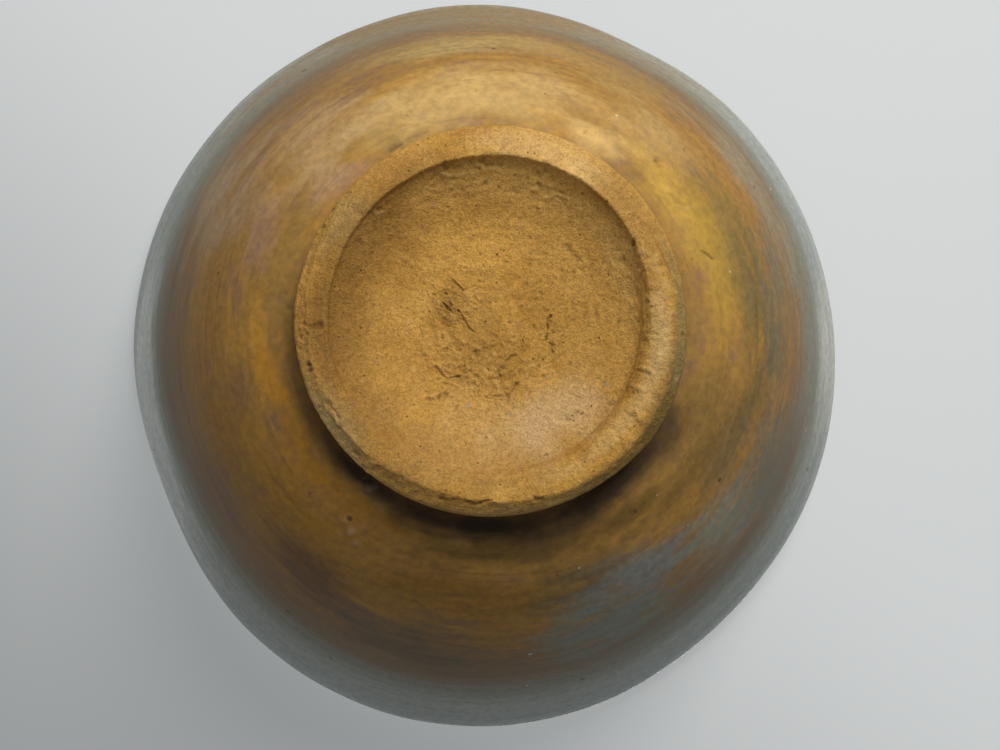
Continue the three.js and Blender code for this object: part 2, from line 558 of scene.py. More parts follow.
class HandWork:
    """Moves a piece's points as hands and tools moved the clay, and notes each mark's fired colour, painted
    shade and light.
    """

    def __init__(self, piece: bpy.types.Object, form: BowlForm) -> None:
        """Reads the piece's points and normals.

        Args:
            piece: the turned piece.
            form: the bowl's shared sizes.
        """
        self.piece = piece
        self.form = form
        count = len(piece.data.vertices)
        flat = np.zeros(count * 3)
        piece.data.vertices.foreach_get("co", flat)
        self.at = flat.reshape(-1, 3) / MM
        normals = np.zeros(count * 3)
        piece.data.vertices.foreach_get("normal", normals)
        self.out = normals.reshape(-1, 3).copy()
        self.true = self.at.copy()
        self.radius = np.hypot(self.at[:, 0], self.at[:, 1])
        self.bearing = np.arctan2(self.at[:, 1], self.at[:, 0])
        self.stain_and_painted_light = np.zeros(count)
        self.below = self.out[:, 2] < 0.3

    def grain(self, size: float, seed: int, near: np.ndarray | slice = slice(None)) -> np.ndarray:
        """Soft uneven noise over the piece.

        Args:
            size: the lumps' size, in millimetres.
            seed: which of many such patterns.
            near: the points that are asked for.

        Returns:
            A number from about -1 to 1 at each of those points.
        """
        rng = np.random.default_rng(seed)
        places = self.true[near]
        total = np.zeros(len(places))
        for _ in range(7):
            direction = rng.normal(size=3)
            direction /= np.linalg.norm(direction)
            across = rng.normal(size=3)
            across /= np.linalg.norm(across)
            phase = rng.uniform(0, 2 * math.pi, 2)
            bend = 1.3 * np.sin(places @ across * (2.1 / size) + phase[1])
            total += np.sin(places @ direction * (2 * math.pi / size / 1.6) + phase[0] + bend)
        return total / 3.2

    def uneven(self, grains: tuple[Grain, ...]) -> np.ndarray:
        """Adds up layers of unevenness, in millimetres."""
        return sum(grain.height * self.grain(grain.size, grain.seed) for grain in grains)

    def waving(self, waves: tuple[Wave, ...]) -> np.ndarray:
        """Adds up waves round the wheel, in millimetres."""
        return sum(wave.height * np.sin(wave.count * self.bearing + wave.start) for wave in waves)

    def squeezed(self, squeezes: tuple[Squeeze, ...], start: float = 0.0) -> np.ndarray:
        """Adds up what squeezes do at each point, in millimetres outwards from a start.

        Args:
            squeezes: the squeezes.
            start: what each point starts with.

        Returns:
            The sum at each point.
        """
        total = np.full(len(self.at), start)
        for squeeze in squeezes:
            turned = (np.degrees(self.bearing) - squeeze.bearing + 180) % 360 - 180
            total += squeeze.outwards * bump_at(turned, 0.0, squeeze.spread)
        return total

    def push(self, amount: np.ndarray) -> None:
        """Moves each point out of its surface by an amount in millimetres."""
        self.at += self.out * amount[:, None]

    def push_from_axis(self, amount: np.ndarray) -> None:
        """Moves each point level away from the wheel's axis by an amount in millimetres."""
        outwards = np.stack([np.cos(self.bearing), np.sin(self.bearing)], axis=1)
        self.at[:, :2] += outwards * amount[:, None]

    def draw(self, stroke: Stroke, seed: int) -> None:
        """Presses one mark into the underside.

        Args:
            stroke: the mark.
            seed: which uneven edge it gets.
        """
        reach = stroke.width * 4 + 1.5
        xs, ys = zip(*stroke.path)
        near = self.below & (self.true[:, 0] > min(xs) - reach) & (self.true[:, 0] < max(xs) + reach)
        near &= (self.true[:, 1] > min(ys) - reach) & (self.true[:, 1] < max(ys) + reach)
        if not near.any():
            return
        x, y = self.true[near, 0], self.true[near, 1]
        edge = self.grain(1.1, seed, near) * stroke.wander
        gap = stroke.distance(x, y) * (1 + 0.5 * edge) + edge * stroke.width * 0.8
        gap = np.maximum(gap, 0)
        inside = bump_at(gap, 0.0, stroke.width)
        rim = bump_at(gap, 1.7 * stroke.width, 0.8 * stroke.width)
        amount = -stroke.depth * inside + stroke.raised_lip * rim
        self.at[near] += self.out[near] * amount[:, None]
        mark = stroke.stain_and_painted_light * inside
        self.stain_and_painted_light[near] = np.where(np.abs(mark) > np.abs(self.stain_and_painted_light[near]), mark, self.stain_and_painted_light[near])

    def draw_all(
            self, marks: tuple[Stroke, ...], first_seed: int, crumbs: tuple[TornCrumbs, ...] = ()) -> None:
        """Presses marks and then scattered crumbs into the underside.

        Args:
            marks: the marks, in order.
            first_seed: the first mark's seed. Each later one has the next seed.
            crumbs: the scatters of crumbs.
        """
        scattered = [stroke for scatter in crumbs for stroke in scatter.strokes()]
        for seed, stroke in enumerate((*marks, *scattered), first_seed):
            self.draw(stroke, seed)

    def lean_and_sag(self) -> None:
        """Draws the piece out of round and lets the mouth rise and dip, more with height."""
        form = self.form
        rise = np.clip((self.true[:, 2] - form.foot_height) / (form.clay_height - form.foot_height), 0, 1)
        share = form.out_of_round * smoothstep(0, 1, rise)
        self.at[:, 0] *= 1 - share
        self.at[:, 1] *= 1 + share
        self.at[:, 2] += self.waving(MOUTH_SWAY) * smoothstep(0.35, 1.0, rise)
        self.push_from_axis(self.squeezed(MOUTH_SQUEEZES, MOUTH_DRAWN_IN) * smoothstep(0.15, 1.0, rise))

    def finish(self) -> None:
        """Writes the moved points back, with each mark's fired colour, painted shade and light as an attribute.
        """
        self.piece.data.vertices.foreach_set("co", (self.at * MM).ravel())
        layer = self.piece.data.attributes.new("stain_and_painted_light", "FLOAT", "POINT")
        layer.data.foreach_set("value", self.stain_and_painted_light.astype(np.float32))
        self.piece.data.update()


# Marks on the underside: the path of each, its width and depth, then how dark it is (fired colour and painted
# shade; below 0, pale with painted light), raised lip and wander.

RECESS_MARKS = (
    # The torn curl that the trimming tool left at the middle.
    Stroke(((6.2, 7.1), (5.2, 6.2), (4.5, 5.5)), 0.13, 0.16, 0.58, 0.05, 0.6),
    Stroke(((4.5, 5.5), (3.5, 5.9), (2.6, 6.3)), 0.13, 0.12, 0.42, 0.05, 0.6),
    Stroke(((7.7, 3.6), (7.0, 2.7), (6.0, 1.9), (5.2, 2.3)), 0.14, 0.22, 0.50, 0.10, 0.9),
    Stroke(((7.0, 2.7), (6.3, 3.0), (6.6, 3.5)), 0.13, 0.18, 0.44, 0.09, 0.9),
    Stroke(((6.4, 1.5), (6.0, 1.2)), 0.26, -0.12, -0.35, 0.0, 0.6),
    Stroke(((5.1, 2.2), (4.2, 0.6), (3.5, -0.6), (2.3, -1.4)), 0.13, 0.18, 0.52, 0.06, 0.7),
    Stroke(((9.2, 4.7), (7.4, 5.6), (5.7, 4.9)), 0.15, 0.12, 0.42, 0.03, 0.6),
    Stroke(((3.9, 0.3), (3.6, -0.7)), 0.15, 0.10, 0.45),
    Stroke(((2.5, -4.4), (2.3, -5.1)), 0.28, 0.10, 0.38, 0.03, 0.6),
    Stroke(((1.8, -3.5), (1.2, -3.1)), 0.26, 0.10, 0.34, 0.03, 0.6),
    Stroke(((8.7, -3.3), (8.2, -3.4)), 0.26, 0.08, 0.34),
    Stroke(((-2.4, -5.7), (-3.1, -5.1), (-3.9, -4.9)), 0.19, 0.16, 0.52, 0.06, 0.5),
    Stroke(((8.8, -6.7), (7.9, -7.8), (6.9, -8.6), (5.7, -8.3), (4.9, -8.2)), 0.13, 0.24, 0.66, 0.08, 0.8),
    Stroke(((0.4, -8.6), (-0.7, -8.5), (-2.1, -7.9), (-3.2, -7.5)), 0.14, 0.10, 0.42, 0.02, 0.5),
    Stroke(((7.6, -9.3), (6.4, -9.6), (5.2, -10.1)), 0.14, 0.10, 0.42, 0.02, 0.5),
    Stroke(((-0.2, -11.3), (-2.1, -11.3), (-3.0, -10.9), (-3.7, -9.8), (-4.4, -9.1)),
           0.13, 0.22, 0.62, 0.08, 0.8),
    Stroke(((10.2, -11.7), (9.2, -12.0), (8.5, -11.8), (7.9, -11.0)), 0.18, 0.22, 0.55, 0.10, 0.8),
    Stroke(((9.4, -11.3),), 0.26, -0.12, -0.40),
    Stroke(((8.9, 5.2), (9.6, 1.5), (9.4, -2.5), (8.0, -5.6)), 0.75, 0.09, 0.10, 0.04, 0.5),
    Stroke(((7.6, 0.9), (6.2, -2.6), (3.6, -4.6), (0.4, -4.4), (-2.0, -2.6)), 0.60, 0.10, 0.12, 0.05, 0.6),
    Stroke(((4.4, 8.2), (0.8, 8.0), (-2.8, 5.8), (-4.6, 2.2), (-4.4, -1.8)), 0.60, 0.06, 0.06, 0.04, 0.6),
    Stroke(((7.8, -7.2), (4.6, -9.4), (0.6, -10.2), (-3.4, -9.4), (-6.4, -7.2)), 0.70, 0.11, 0.10, 0.06, 0.7),
    # A crack that steps down on the other side, with a chalky chip below it.
    Stroke(((-9.6, 1.4), (-8.8, 0.9), (-9.0, -0.4), (-8.9, -1.5), (-8.7, -2.4)), 0.13, 0.32, 0.85, 0.05, 0.5),
    Stroke(((-9.6, -2.8), (-9.8, -3.4)), 0.36, 0.10, 0.38, 0.0, 0.5),
    Stroke(((-9.6, -4.0), (-9.8, -4.4)), 0.17, 0.24, 0.85),
    Stroke(((-6.8, -0.1), (-6.9, -0.6)), 0.21, 0.16, 0.60),
    # Pits and grains further out.
    Stroke(((-8.1, -8.1), (-9.1, -7.9)), 0.20, 0.14, 0.50, 0.04, 0.6),
    Stroke(((9.0, -5.6),), 0.21, 0.16, 0.72),
    Stroke(((12.3, -7.2),), 0.30, -0.06, -0.55),
    Stroke(((-13.1, -2.0),), 0.20, 0.16, 0.62),
    Stroke(((-11.9, 12.5), (-13.0, 11.3), (-13.9, 10.3)), 0.24, 0.10, 0.32, 0.0, 0.7),
    Stroke(((-8.2, 11.4), (-8.9, 11.3)), 0.17, 0.10, 0.42),
    Stroke(((-15.9, 7.6),), 0.22, 0.14, 0.70),
    Stroke(((-17.6, 12.6),), 0.20, 0.14, 0.70),
    Stroke(((-16.6, 2.3),), 0.20, 0.12, 0.50),
    Stroke(((-20.1, 0.2),), 0.20, 0.12, 0.55),
    Stroke(((-13.4, -14.0),), 0.20, 0.12, 0.60),
    Stroke(((-11.8, -15.1), (-12.9, -15.3)), 0.17, 0.10, 0.40, 0.0, 0.6),
    Stroke(((-16.2, -16.2),), 0.22, 0.12, 0.45),
    Stroke(((21.1, 5.7),), 0.24, 0.12, 0.55),
    Stroke(((18.6, 3.0),), 0.20, 0.10, 0.50),
    Stroke(((23.1, -2.3),), 0.24, 0.16, 0.80),
    Stroke(((23.4, -1.9),), 0.16, 0.12, 0.60),
    Stroke(((19.2, -0.1), (19.5, -1.2), (19.5, -1.7)), 0.15, 0.12, 0.48),
    Stroke(((17.9, -5.5),), 0.20, 0.12, 0.50),
    Stroke(((20.4, -7.8),), 0.20, 0.12, 0.50),
    Stroke(((21.4, -10.9), (20.1, -11.3)), 0.18, 0.12, 0.40, 0.0, 0.6),
    # Tool scars on the far wall of the recess: shallow, with pale lower lips.
    Stroke(((7.4, 23.7), (6.9, 23.7)), 0.24, 0.18, 0.32, 0.0, 0.5),
    Stroke(((5.3, 24.0), (4.6, 24.0)), 0.22, 0.16, 0.32, 0.0, 0.5),
    Stroke(((7.7, 23.1), (7.0, 22.9), (5.3, 23.0), (4.4, 23.2), (3.3, 23.4)), 0.20, -0.15, -0.42, 0.0, 0.5),
    Stroke(((5.6, 24.4), (4.7, 24.5)), 0.18, -0.10, -0.35),
    Stroke(((1.8, 24.3), (1.0, 23.9), (0.0, 24.1), (-1.2, 23.7)), 0.19, -0.14, -0.38, 0.0, 0.5),
    Stroke(((1.9, 24.8), (1.3, 24.7)), 0.20, 0.18, 0.38),
    Stroke(((1.0, 24.3), (0.2, 24.4), (-0.6, 24.5), (-1.5, 24.2)), 0.16, 0.20, 0.36, 0.0, 0.5),
    Stroke(((-2.0, 21.0), (-2.6, 20.8), (-3.7, 20.9)), 0.16, 0.10, 0.26, 0.05, 0.5),
    Stroke(((4.2, 20.0), (3.5, 19.9)), 0.15, 0.10, 0.24),
    Stroke(((2.6, 20.4), (1.6, 20.5)), 0.15, 0.10, 0.24),
    Stroke(((10.5, 17.5),), 0.18, 0.10, 0.40),
    Stroke(((9.4, 20.8), (8.3, 21.0)), 0.18, -0.10, -0.25, 0.0, 0.6),
    Stroke(((-8.6, 23.2), (-9.6, 22.5)), 0.42, 0.08, 0.12, 0.0, 0.6),
    Stroke(((-7.3, 21.8), (-8.6, 21.1)), 0.20, 0.18, 0.36, 0.0, 0.6),
    Stroke(((-7.3, 22.2), (-8.2, 22.0), (-9.3, 21.4)), 0.18, -0.14, -0.36, 0.0, 0.5),
    Stroke(((-10.7, 20.6), (-11.5, 20.2), (-12.2, 19.8)), 0.17, 0.20, 0.48, 0.0, 0.5),
    Stroke(((-10.2, 20.4), (-11.3, 19.9), (-12.1, 19.5)), 0.17, -0.14, -0.36, 0.0, 0.5),
    Stroke(((-10.3, 19.9), (-11.4, 19.2)), 0.16, 0.14, 0.30, 0.0, 0.5),
    Stroke(((-9.4, 19.9), (-10.9, 19.0)), 0.16, -0.10, -0.28, 0.0, 0.5),
    Stroke(((-14.3, 18.3),), 0.20, 0.14, 0.60),
    # Scars on the side walls.
    Stroke(((17.7, 17.3), (17.0, 17.7)), 0.18, 0.30, 0.95, 0.0, 0.3),
    Stroke(((16.5, 18.1), (16.1, 18.4)), 0.26, 0.16, 0.38),
    Stroke(((17.8, 16.8), (17.0, 17.2)), 0.18, -0.10, -0.30),
    Stroke(((20.7, 12.5),), 0.22, 0.16, 0.60),
    Stroke(((20.0, 12.9), (19.6, 12.7)), 0.20, -0.10, -0.32),
    Stroke(((-22.0, 12.5), (-22.2, 11.9)), 0.18, 0.18, 0.85),
    Stroke(((-20.7, 10.5), (-20.9, 9.7)), 0.16, 0.16, 0.70),
    Stroke(((-20.3, 8.8), (-20.6, 8.3)), 0.22, -0.12, -0.42),
    Stroke(((-22.0, 3.0), (-22.7, 1.6), (-23.0, 0.6)), 0.17, -0.10, -0.30, 0.0, 0.5),
    Stroke(((-23.2, 0.1),), 0.21, 0.16, 0.80),
    Stroke(((-18.0, -19.6),), 0.18, 0.10, 0.40),
)

RING_MARKS = (
    # A thin lamination that opened along the near crest.
    Stroke(((8.0, -27.7), (6.7, -27.9), (5.1, -28.0), (3.9, -28.3)), 0.13, 0.22, 0.42, 0.05, 0.6),
    Stroke(((3.9, -28.3), (2.4, -28.6), (1.1, -28.2), (0.0, -27.9)), 0.14, 0.28, 0.58, 0.06, 0.6),
    Stroke(((-0.9, -28.3), (-1.5, -28.4), (-2.2, -28.0)), 0.34, -0.20, -0.15, 0.0, 0.5),
    Stroke(((-6.2, -27.0), (-6.8, -27.3), (-7.5, -27.5)), 0.30, 0.34, 0.45, 0.06, 0.6),
    Stroke(((-5.5, -27.2), (-6.3, -26.8)), 0.22, -0.14, -0.35, 0.0, 0.5),
    Stroke(((5.7, -24.1),), 0.24, 0.14, 0.42),
    Stroke(((2.4, -24.8),), 0.20, 0.12, 0.40),
    Stroke(((-8.2, -25.0), (-9.1, -25.0)), 0.18, 0.12, 0.35, 0.0, 0.6),
    # Folds and chips where the crest turns on the left of the near side.
    Stroke(((25.1, -12.8), (24.3, -13.6), (23.5, -15.0)), 0.34, 0.26, 0.16, 0.12, 0.7),
    Stroke(((23.9, -13.8), (23.8, -14.1)), 0.16, 0.20, 0.60),
    Stroke(((25.2, -14.6), (24.8, -15.1)), 0.26, -0.16, -0.50, 0.0, 0.5),
    Stroke(((23.6, -15.9), (22.3, -17.1), (20.9, -18.7), (19.3, -20.6)), 0.18, -0.14, -0.30, 0.0, 0.6),
    Stroke(((21.2, -20.2), (20.4, -20.7)), 0.18, 0.20, 0.32, 0.06, 0.5),
    Stroke(((19.7, -22.4), (18.7, -23.1), (17.7, -22.5)), 0.18, 0.22, 0.32, 0.08, 0.6),
    Stroke(((18.7, -21.8), (17.9, -22.2)), 0.24, -0.18, -0.35, 0.0, 0.5),
    Stroke(((24.3, -10.4),), 0.20, 0.12, 0.40),
    # Pits and a flake on the left.
    Stroke(((27.5, -1.0), (26.4, -1.0)), 0.46, 0.26, 0.46, 0.06, 0.6),
    Stroke(((29.1, -2.5),), 0.28, 0.22, 0.70),
    Stroke(((28.0, -2.1),), 0.23, 0.20, 0.72),
    Stroke(((29.4, -1.5),), 0.19, 0.16, 0.50),
    Stroke(((28.0, -6.8), (27.9, -7.0)), 0.28, 0.32, 0.97, 0.05),
    Stroke(((27.7, -7.7),), 0.28, 0.32, 0.97, 0.05),
    Stroke(((26.7, 5.8), (26.7, 3.9)), 0.16, 0.12, 0.30),
    Stroke(((24.5, 17.2),), 0.24, 0.18, 0.70),
    Stroke(((26.2, 14.7), (25.9, 14.3)), 0.26, 0.20, 0.60),
    # A ridge of pale grains, a thin lamination and chips on the right.
    Stroke(((-23.3, 10.9), (-24.5, 10.1), (-25.2, 8.7), (-26.0, 7.1), (-26.4, 5.4), (-26.9, 3.8)),
           0.36, -0.16, -0.30, 0.0, 0.8),
    Stroke(((-24.4, 14.6), (-25.3, 12.4), (-26.0, 10.7), (-27.0, 8.8), (-27.6, 6.8)),
           0.15, 0.12, 0.38, 0.0, 0.5),
    Stroke(((-9.8, 23.6), (-11.4, 22.9), (-13.5, 22.0), (-15.0, 20.9)), 0.26, -0.14, -0.28, 0.0, 0.6),
    Stroke(((-13.8, 22.1), (-14.9, 21.2), (-15.8, 20.4)), 0.18, -0.12, -0.28, 0.0, 0.5),
    Stroke(((-26.6, -1.5),), 0.28, -0.18, -0.90),
    Stroke(((-27.6, -2.2),), 0.22, 0.16, 0.60),
    Stroke(((-29.3, -2.1),), 0.24, 0.16, 0.60),
    Stroke(((-28.2, 6.2),), 0.20, 0.14, 0.50),
    Stroke(((-21.3, -14.3), (-21.8, -14.7)), 0.30, 0.20, 0.35, 0.0, 0.6),
    Stroke(((-23.5, -12.4), (-22.7, -13.3)), 0.30, -0.18, -0.25, 0.0, 0.6),
    Stroke(((-24.2, -8.4),), 0.30, 0.26, 0.60, 0.08),
)

# The recess's marks have the same seeds on the body and on the ring, so that they run on between them.
CLAY_MARK_SEED = 100
GLAZE_MARK_SEED = 300

RECESS_CRUMBS = (
    TornCrumbs((0.4, -2.0), 11.5, 110, 41),
    TornCrumbs((6.0, 2.6), 3.2, 70, 47, 0.8),
    TornCrumbs((3.0, -8.5), 5.6, 80, 43),
    TornCrumbs((-9.0, -1.5), 2.4, 18, 44),
    TornCrumbs((0.0, 0.0), 19.0, 240, 45, 0.8),
)

RING_CRUMBS = (
    TornCrumbs((4.0, 23.6), 3.6, 26, 51, 1.2),
    TornCrumbs((-9.0, 21.5), 3.6, 34, 52, 1.2),
    TornCrumbs((-20.6, 8.0), 4.2, 26, 53, 1.1),
    TornCrumbs((-21.6, -12.6), 3.4, 30, 54, 1.3),
    TornCrumbs((0.0, 0.0), 30.0, 260, 55, 0.9),
)

GLAZE_MARKS = (
    # Spots and scars in the glaze round the foot. Its raised bumps are painted pale, as small glints on them.
    Stroke(((-27.0, 27.3),), 0.48, 0.22, 0.72, 0.06),
    Stroke(((-27.0, 27.3), (-27.7, 26.3)), 0.24, 0.14, 0.45),
    Stroke(((-28.7, 22.5),), 0.42, -0.16, -0.12),
    Stroke(((-29.1, 21.5), (-29.5, 20.9), (-30.1, 20.3), (-31.2, 20.0)), 0.32, 0.16, 0.40, 0.06),
    Stroke(((-31.9, 19.3),), 0.34, -0.14, -0.18),
    Stroke(((-34.2, 12.2), (-35.0, 11.8), (-36.0, 11.1)), 0.20, 0.16, 0.80),
    Stroke(((-30.3, -1.5), (-31.3, -1.6)), 0.22, 0.14, 0.55),
    Stroke(((-15.3, 31.5),), 0.34, 0.14, 0.75),
    Stroke(((-22.2, -29.7),), 0.34, 0.14, 0.70),
    Stroke(((16.2, 28.2), (15.2, 28.8), (14.4, 29.2)), 0.30, 0.22, 0.62, 0.0, 0.4),
    Stroke(((23.3, -30.9),), 0.50, -0.22, -0.12),
    Stroke(((22.4, -32.6),), 0.60, -0.26, -0.20),
    Stroke(((21.6, -34.6),), 0.50, -0.20, -0.14),
    Stroke(((24.2, -33.0),), 0.40, -0.16, -0.12),
    Stroke(((20.4, -32.0),), 0.36, -0.14, -0.10),
    Stroke(((19.7, -24.9), (19.1, -26.1), (18.1, -25.8)), 0.30, -0.16, -0.08, 0.0, 0.8),
    Stroke(((24.3, -26.2),), 0.30, 0.14, 0.60),
    Stroke(((32.0, 2.9),), 0.34, 0.14, 0.80),
    Stroke(((32.5, 5.0),), 0.24, 0.12, 0.55),
    Stroke(((13.5, 29.9), (11.7, 30.6), (10.3, 31.2)), 0.36, 0.20, 0.40),
)


# Shading.


class Layers:
    """Adds nodes to a tree and joins them, so that a finish reads as a list of layers."""

    def __init__(self, tree: bpy.types.NodeTree) -> None:
        """Keeps the tree that the nodes go in."""
        self.tree = tree

    def add(self, kind: str, **settings: object) -> bpy.types.Node:
        """Adds one node of a kind, with its settings.

        Args:
            kind: the node's type.
            settings: its properties by name.

        Returns:
            The node.
        """
        node = self.tree.nodes.new(kind)
        for name, value in settings.items():
            setattr(node, name, value)
        return node

    def feed(self, socket: Socket, value: object) -> None:
        """Joins another socket to this one, or sets its value.

        Args:
            socket: the input.
            value: a socket or a constant.
        """
        if isinstance(value, bpy.types.NodeSocket):
            self.tree.links.new(value, socket)
        else:
            socket.default_value = value

    def math(self, operation: str, *values: object) -> Socket:
        """Works out one operation on numbers.

        Args:
            operation: the node's operation.
            values: sockets or numbers.

        Returns:
            The result.
        """
        node = self.add("ShaderNodeMath", operation=operation)
        for socket, value in zip(node.inputs, values):
            self.feed(socket, value)
        return node.outputs[0]

    def plus(self, one: object, other: object) -> Socket:
        """Adds two numbers."""
        return self.math("ADD", one, other)

    def minus(self, one: object, other: object) -> Socket:
        """Takes the second number from the first."""
        return self.math("SUBTRACT", one, other)

    def times(self, one: object, other: object) -> Socket:
        """Multiplies two numbers."""
        return self.math("MULTIPLY", one, other)

    def over(self, one: object, other: object) -> Socket:
        """Divides the first number by the second."""
        return self.math("DIVIDE", one, other)

    def parts(self, vector: Socket) -> tuple[Socket, Socket, Socket]:
        """Splits a vector into its x, y and z.

        Args:
            vector: the vector.

        Returns:
            The three numbers.
        """
        node = self.add("ShaderNodeSeparateXYZ")
        self.feed(node.inputs[0], vector)
        return tuple(node.outputs)

    def joined(self, x: Socket, y: Socket, z: Socket) -> Socket:
        """Makes a vector of three numbers.

        Args:
            x, y, z: the numbers.

        Returns:
            The vector.
        """
        node = self.add("ShaderNodeCombineXYZ")
        for socket, part in zip(node.inputs, (x, y, z)):
            self.feed(socket, part)
        return node.outputs[0]

    def vector(self, operation: str, *values: object) -> Socket:
        """Works out one operation on vectors.

        Args:
            operation: the node's operation.
            values: sockets or constants.

        Returns:
            The result.
        """
        node = self.add("ShaderNodeVectorMath", operation=operation)
        for socket, value in zip(node.inputs, values):
            self.feed(socket, value)
        return node.outputs["Value" if operation in ("LENGTH", "DOT_PRODUCT") else "Vector"]

    def scaled(self, vector: Socket, factor: object) -> Socket:
        """Multiplies a vector by a number.

        Args:
            vector: the vector.
            factor: the number.

        Returns:
            The longer or shorter vector.
        """
        node = self.add("ShaderNodeVectorMath", operation="SCALE")
        self.feed(node.inputs[0], vector)
        self.feed(node.inputs["Scale"], factor)
        return node.outputs[0]

    def mix(self, share: object, under: object, over: object, blend: str = "MIX") -> Socket:
        """Lays one colour over another.

        Args:
            share: how much of the upper colour shows, from 0 to 1.
            under, over: the two colours, as sockets or as a screen shows them.
            blend: how they meet.

        Returns:
            The mixed colour.
        """
        node = self.add("ShaderNodeMix", data_type="RGBA", blend_type=blend)
        self.feed(node.inputs[0], share)
        for socket, colour in ((node.inputs[6], under), (node.inputs[7], over)):
            self.feed(socket, linear(colour) if isinstance(colour, tuple) else colour)
        return node.outputs[2]

    def toned(self, colour: Socket, tone: Socket) -> Socket:
        """Darkens and lightens a colour by a tone round 1.

        Args:
            colour: the colour.
            tone: 1 where it stays as it is.

        Returns:
            The new colour.
        """
        grey = self.add("ShaderNodeCombineColor")
        for socket in grey.inputs[:3]:
            self.feed(socket, tone)
        return self.mix(1.0, colour, grey.outputs[0], "MULTIPLY")

    def blend(self, share: object, under: Socket, over: Socket) -> Socket:
        """Shows one shader over another.

        Args:
            share: how much of the upper one shows.
            under, over: the shaders.

        Returns:
            The blended shader.
        """
        node = self.add("ShaderNodeMixShader")
        for socket, value in zip(node.inputs, (share, under, over)):
            self.feed(socket, value)
        return node.outputs[0]

    def graded(self, value: Socket, low: float, high: float, start: float = 0.0, end: float = 1.0) -> Socket:
        """Runs a number softly from start, where value is low, to end, where it is high.

        Args:
            value: the number.
            low, high: its span.
            start, end: what it becomes there.

        Returns:
            The graded number.
        """
        node = self.add("ShaderNodeMapRange", interpolation_type="SMOOTHSTEP")
        names = ("Value", "From Min", "From Max", "To Min", "To Max")
        for name, number in zip(names, (value, low, high, start, end)):
            self.feed(node.inputs[name], number)
        return node.outputs["Result"]

    def noise(self, place: Socket, size: float, detail: float = 3.0, rough: float = 0.5) -> Socket:
        """Soft noise with lumps of a size in millimetres.

        Args:
            place: the place in millimetres.
            size: the lumps' size.
            detail, rough: how many finer lumps lie on them, and how strong those are.

        Returns:
            A number from 0 to 1.
        """
        node = self.add("ShaderNodeTexNoise")
        self.feed(node.inputs["Vector"], place)
        node.inputs["Scale"].default_value = 1.0 / size
        node.inputs["Detail"].default_value = detail
        node.inputs["Roughness"].default_value = rough
        return node.outputs["Fac"]

    def place_in_mm(self) -> Socket:
        """The point's own place on the object, in millimetres."""
        source = self.add("ShaderNodeTexCoord")
        return self.scaled(source.outputs["Object"], 1.0 / MM)

    def group(self, tree: bpy.types.NodeTree, **values: object) -> dict[str, Socket]:
        """Adds a node group, feeds its inputs by name and gives its outputs by name.

        Args:
            tree: the group.
            values: its inputs by name.

        Returns:
            Its outputs by name.
        """
        node = self.add("ShaderNodeGroup", node_tree=tree)
        for name, value in values.items():
            self.feed(node.inputs[name], value)
        return {socket.name: socket for socket in node.outputs}

    def bump(self, shader: bpy.types.Node, height: Socket, strength: float, depth: float) -> None:
        """Gives a shader fine relief.

        Args:
            shader: the shader.
            height: the relief's height, from about 0 to 1.
            strength: how strongly it shows.
            depth: its depth in millimetres.
        """
        node = self.add("ShaderNodeBump")
        node.inputs["Strength"].default_value = strength
        node.inputs["Distance"].default_value = depth * MM
        self.feed(node.inputs["Height"], height)
        self.feed(shader.inputs["Normal"], node.outputs[0])

    def show(self, surface: Socket, output: str = "ShaderNodeOutputMaterial") -> None:
        """Makes a shader the one that the tree shows."""
        self.feed(self.add(output).inputs["Surface"], surface)


def new_group(name: str, inputs: dict[str, str], outputs: dict[str, str]) -> tuple[Layers, dict, dict]:
    """Starts a node group with named sockets.

    Args:
        name: the group's name.
        inputs, outputs: each socket's name and kind.

    Returns:
        The group's layers, its input sockets to read and its output sockets to feed.
    """
    tree = bpy.data.node_groups.new(name, "ShaderNodeTree")
    for socket, kind in inputs.items():
        tree.interface.new_socket(name=socket, in_out="INPUT", socket_type=kind)
    for socket, kind in outputs.items():
        tree.interface.new_socket(name=socket, in_out="OUTPUT", socket_type=kind)
    layers = Layers(tree)
    given = layers.add("NodeGroupInput")
    wanted = layers.add("NodeGroupOutput")
    return layers, {s: given.outputs[s] for s in inputs}, {s: wanted.inputs[s] for s in outputs}


WHEEL_REACH = 50.0             # millimetres round the wheel that the turning marks' Length is a part of
PATCH_WANDER_REACH = 22.0      # radius at which the patches' edges wander evenly, in millimetres
PATCH_WANDER = 2.4


def round_and_along(layers: Layers, place: Socket) -> tuple[Socket, Socket, Socket, Socket]:
    """Splits a place into its part round the wheel and its part along the wall.

    Args:
        layers: the tree to work in.
        place: the place in millimetres.

    Returns:
        Cosine and sine of the bearing, the radius, and radius plus height, which grows all along the wall.
    """
    x, y, z = layers.parts(place)
    radius = layers.math("SQRT", layers.plus(layers.times(x, x), layers.times(y, y)))
    safe = layers.math("MAXIMUM", radius, 0.01)
    return layers.over(x, safe), layers.over(y, safe), radius, layers.plus(radius, z)


def make_turning_marks() -> bpy.types.NodeTree:
    """Fine lines that run round the bowl, as a wet sponge and the throwing rib leave them.

    Returns:
        The node group.
    """
    layers, given, wanted = new_group(
        "turning_marks",
        {"Place": VECTOR, "Width": NUMBER, "Length": NUMBER, "Shift": NUMBER},
        {"Height": NUMBER},
    )
    cosine, sine, _, along = round_and_along(layers, given["Place"])
    turn_reach = layers.over(WHEEL_REACH, given["Length"])
    step = layers.over(layers.plus(along, given["Shift"]), given["Width"])
    unrolled = layers.joined(layers.times(cosine, turn_reach), layers.times(sine, turn_reach), step)
    layers.feed(wanted["Height"], layers.noise(unrolled, 1.0, 4.0, 0.6))
    return layers.tree


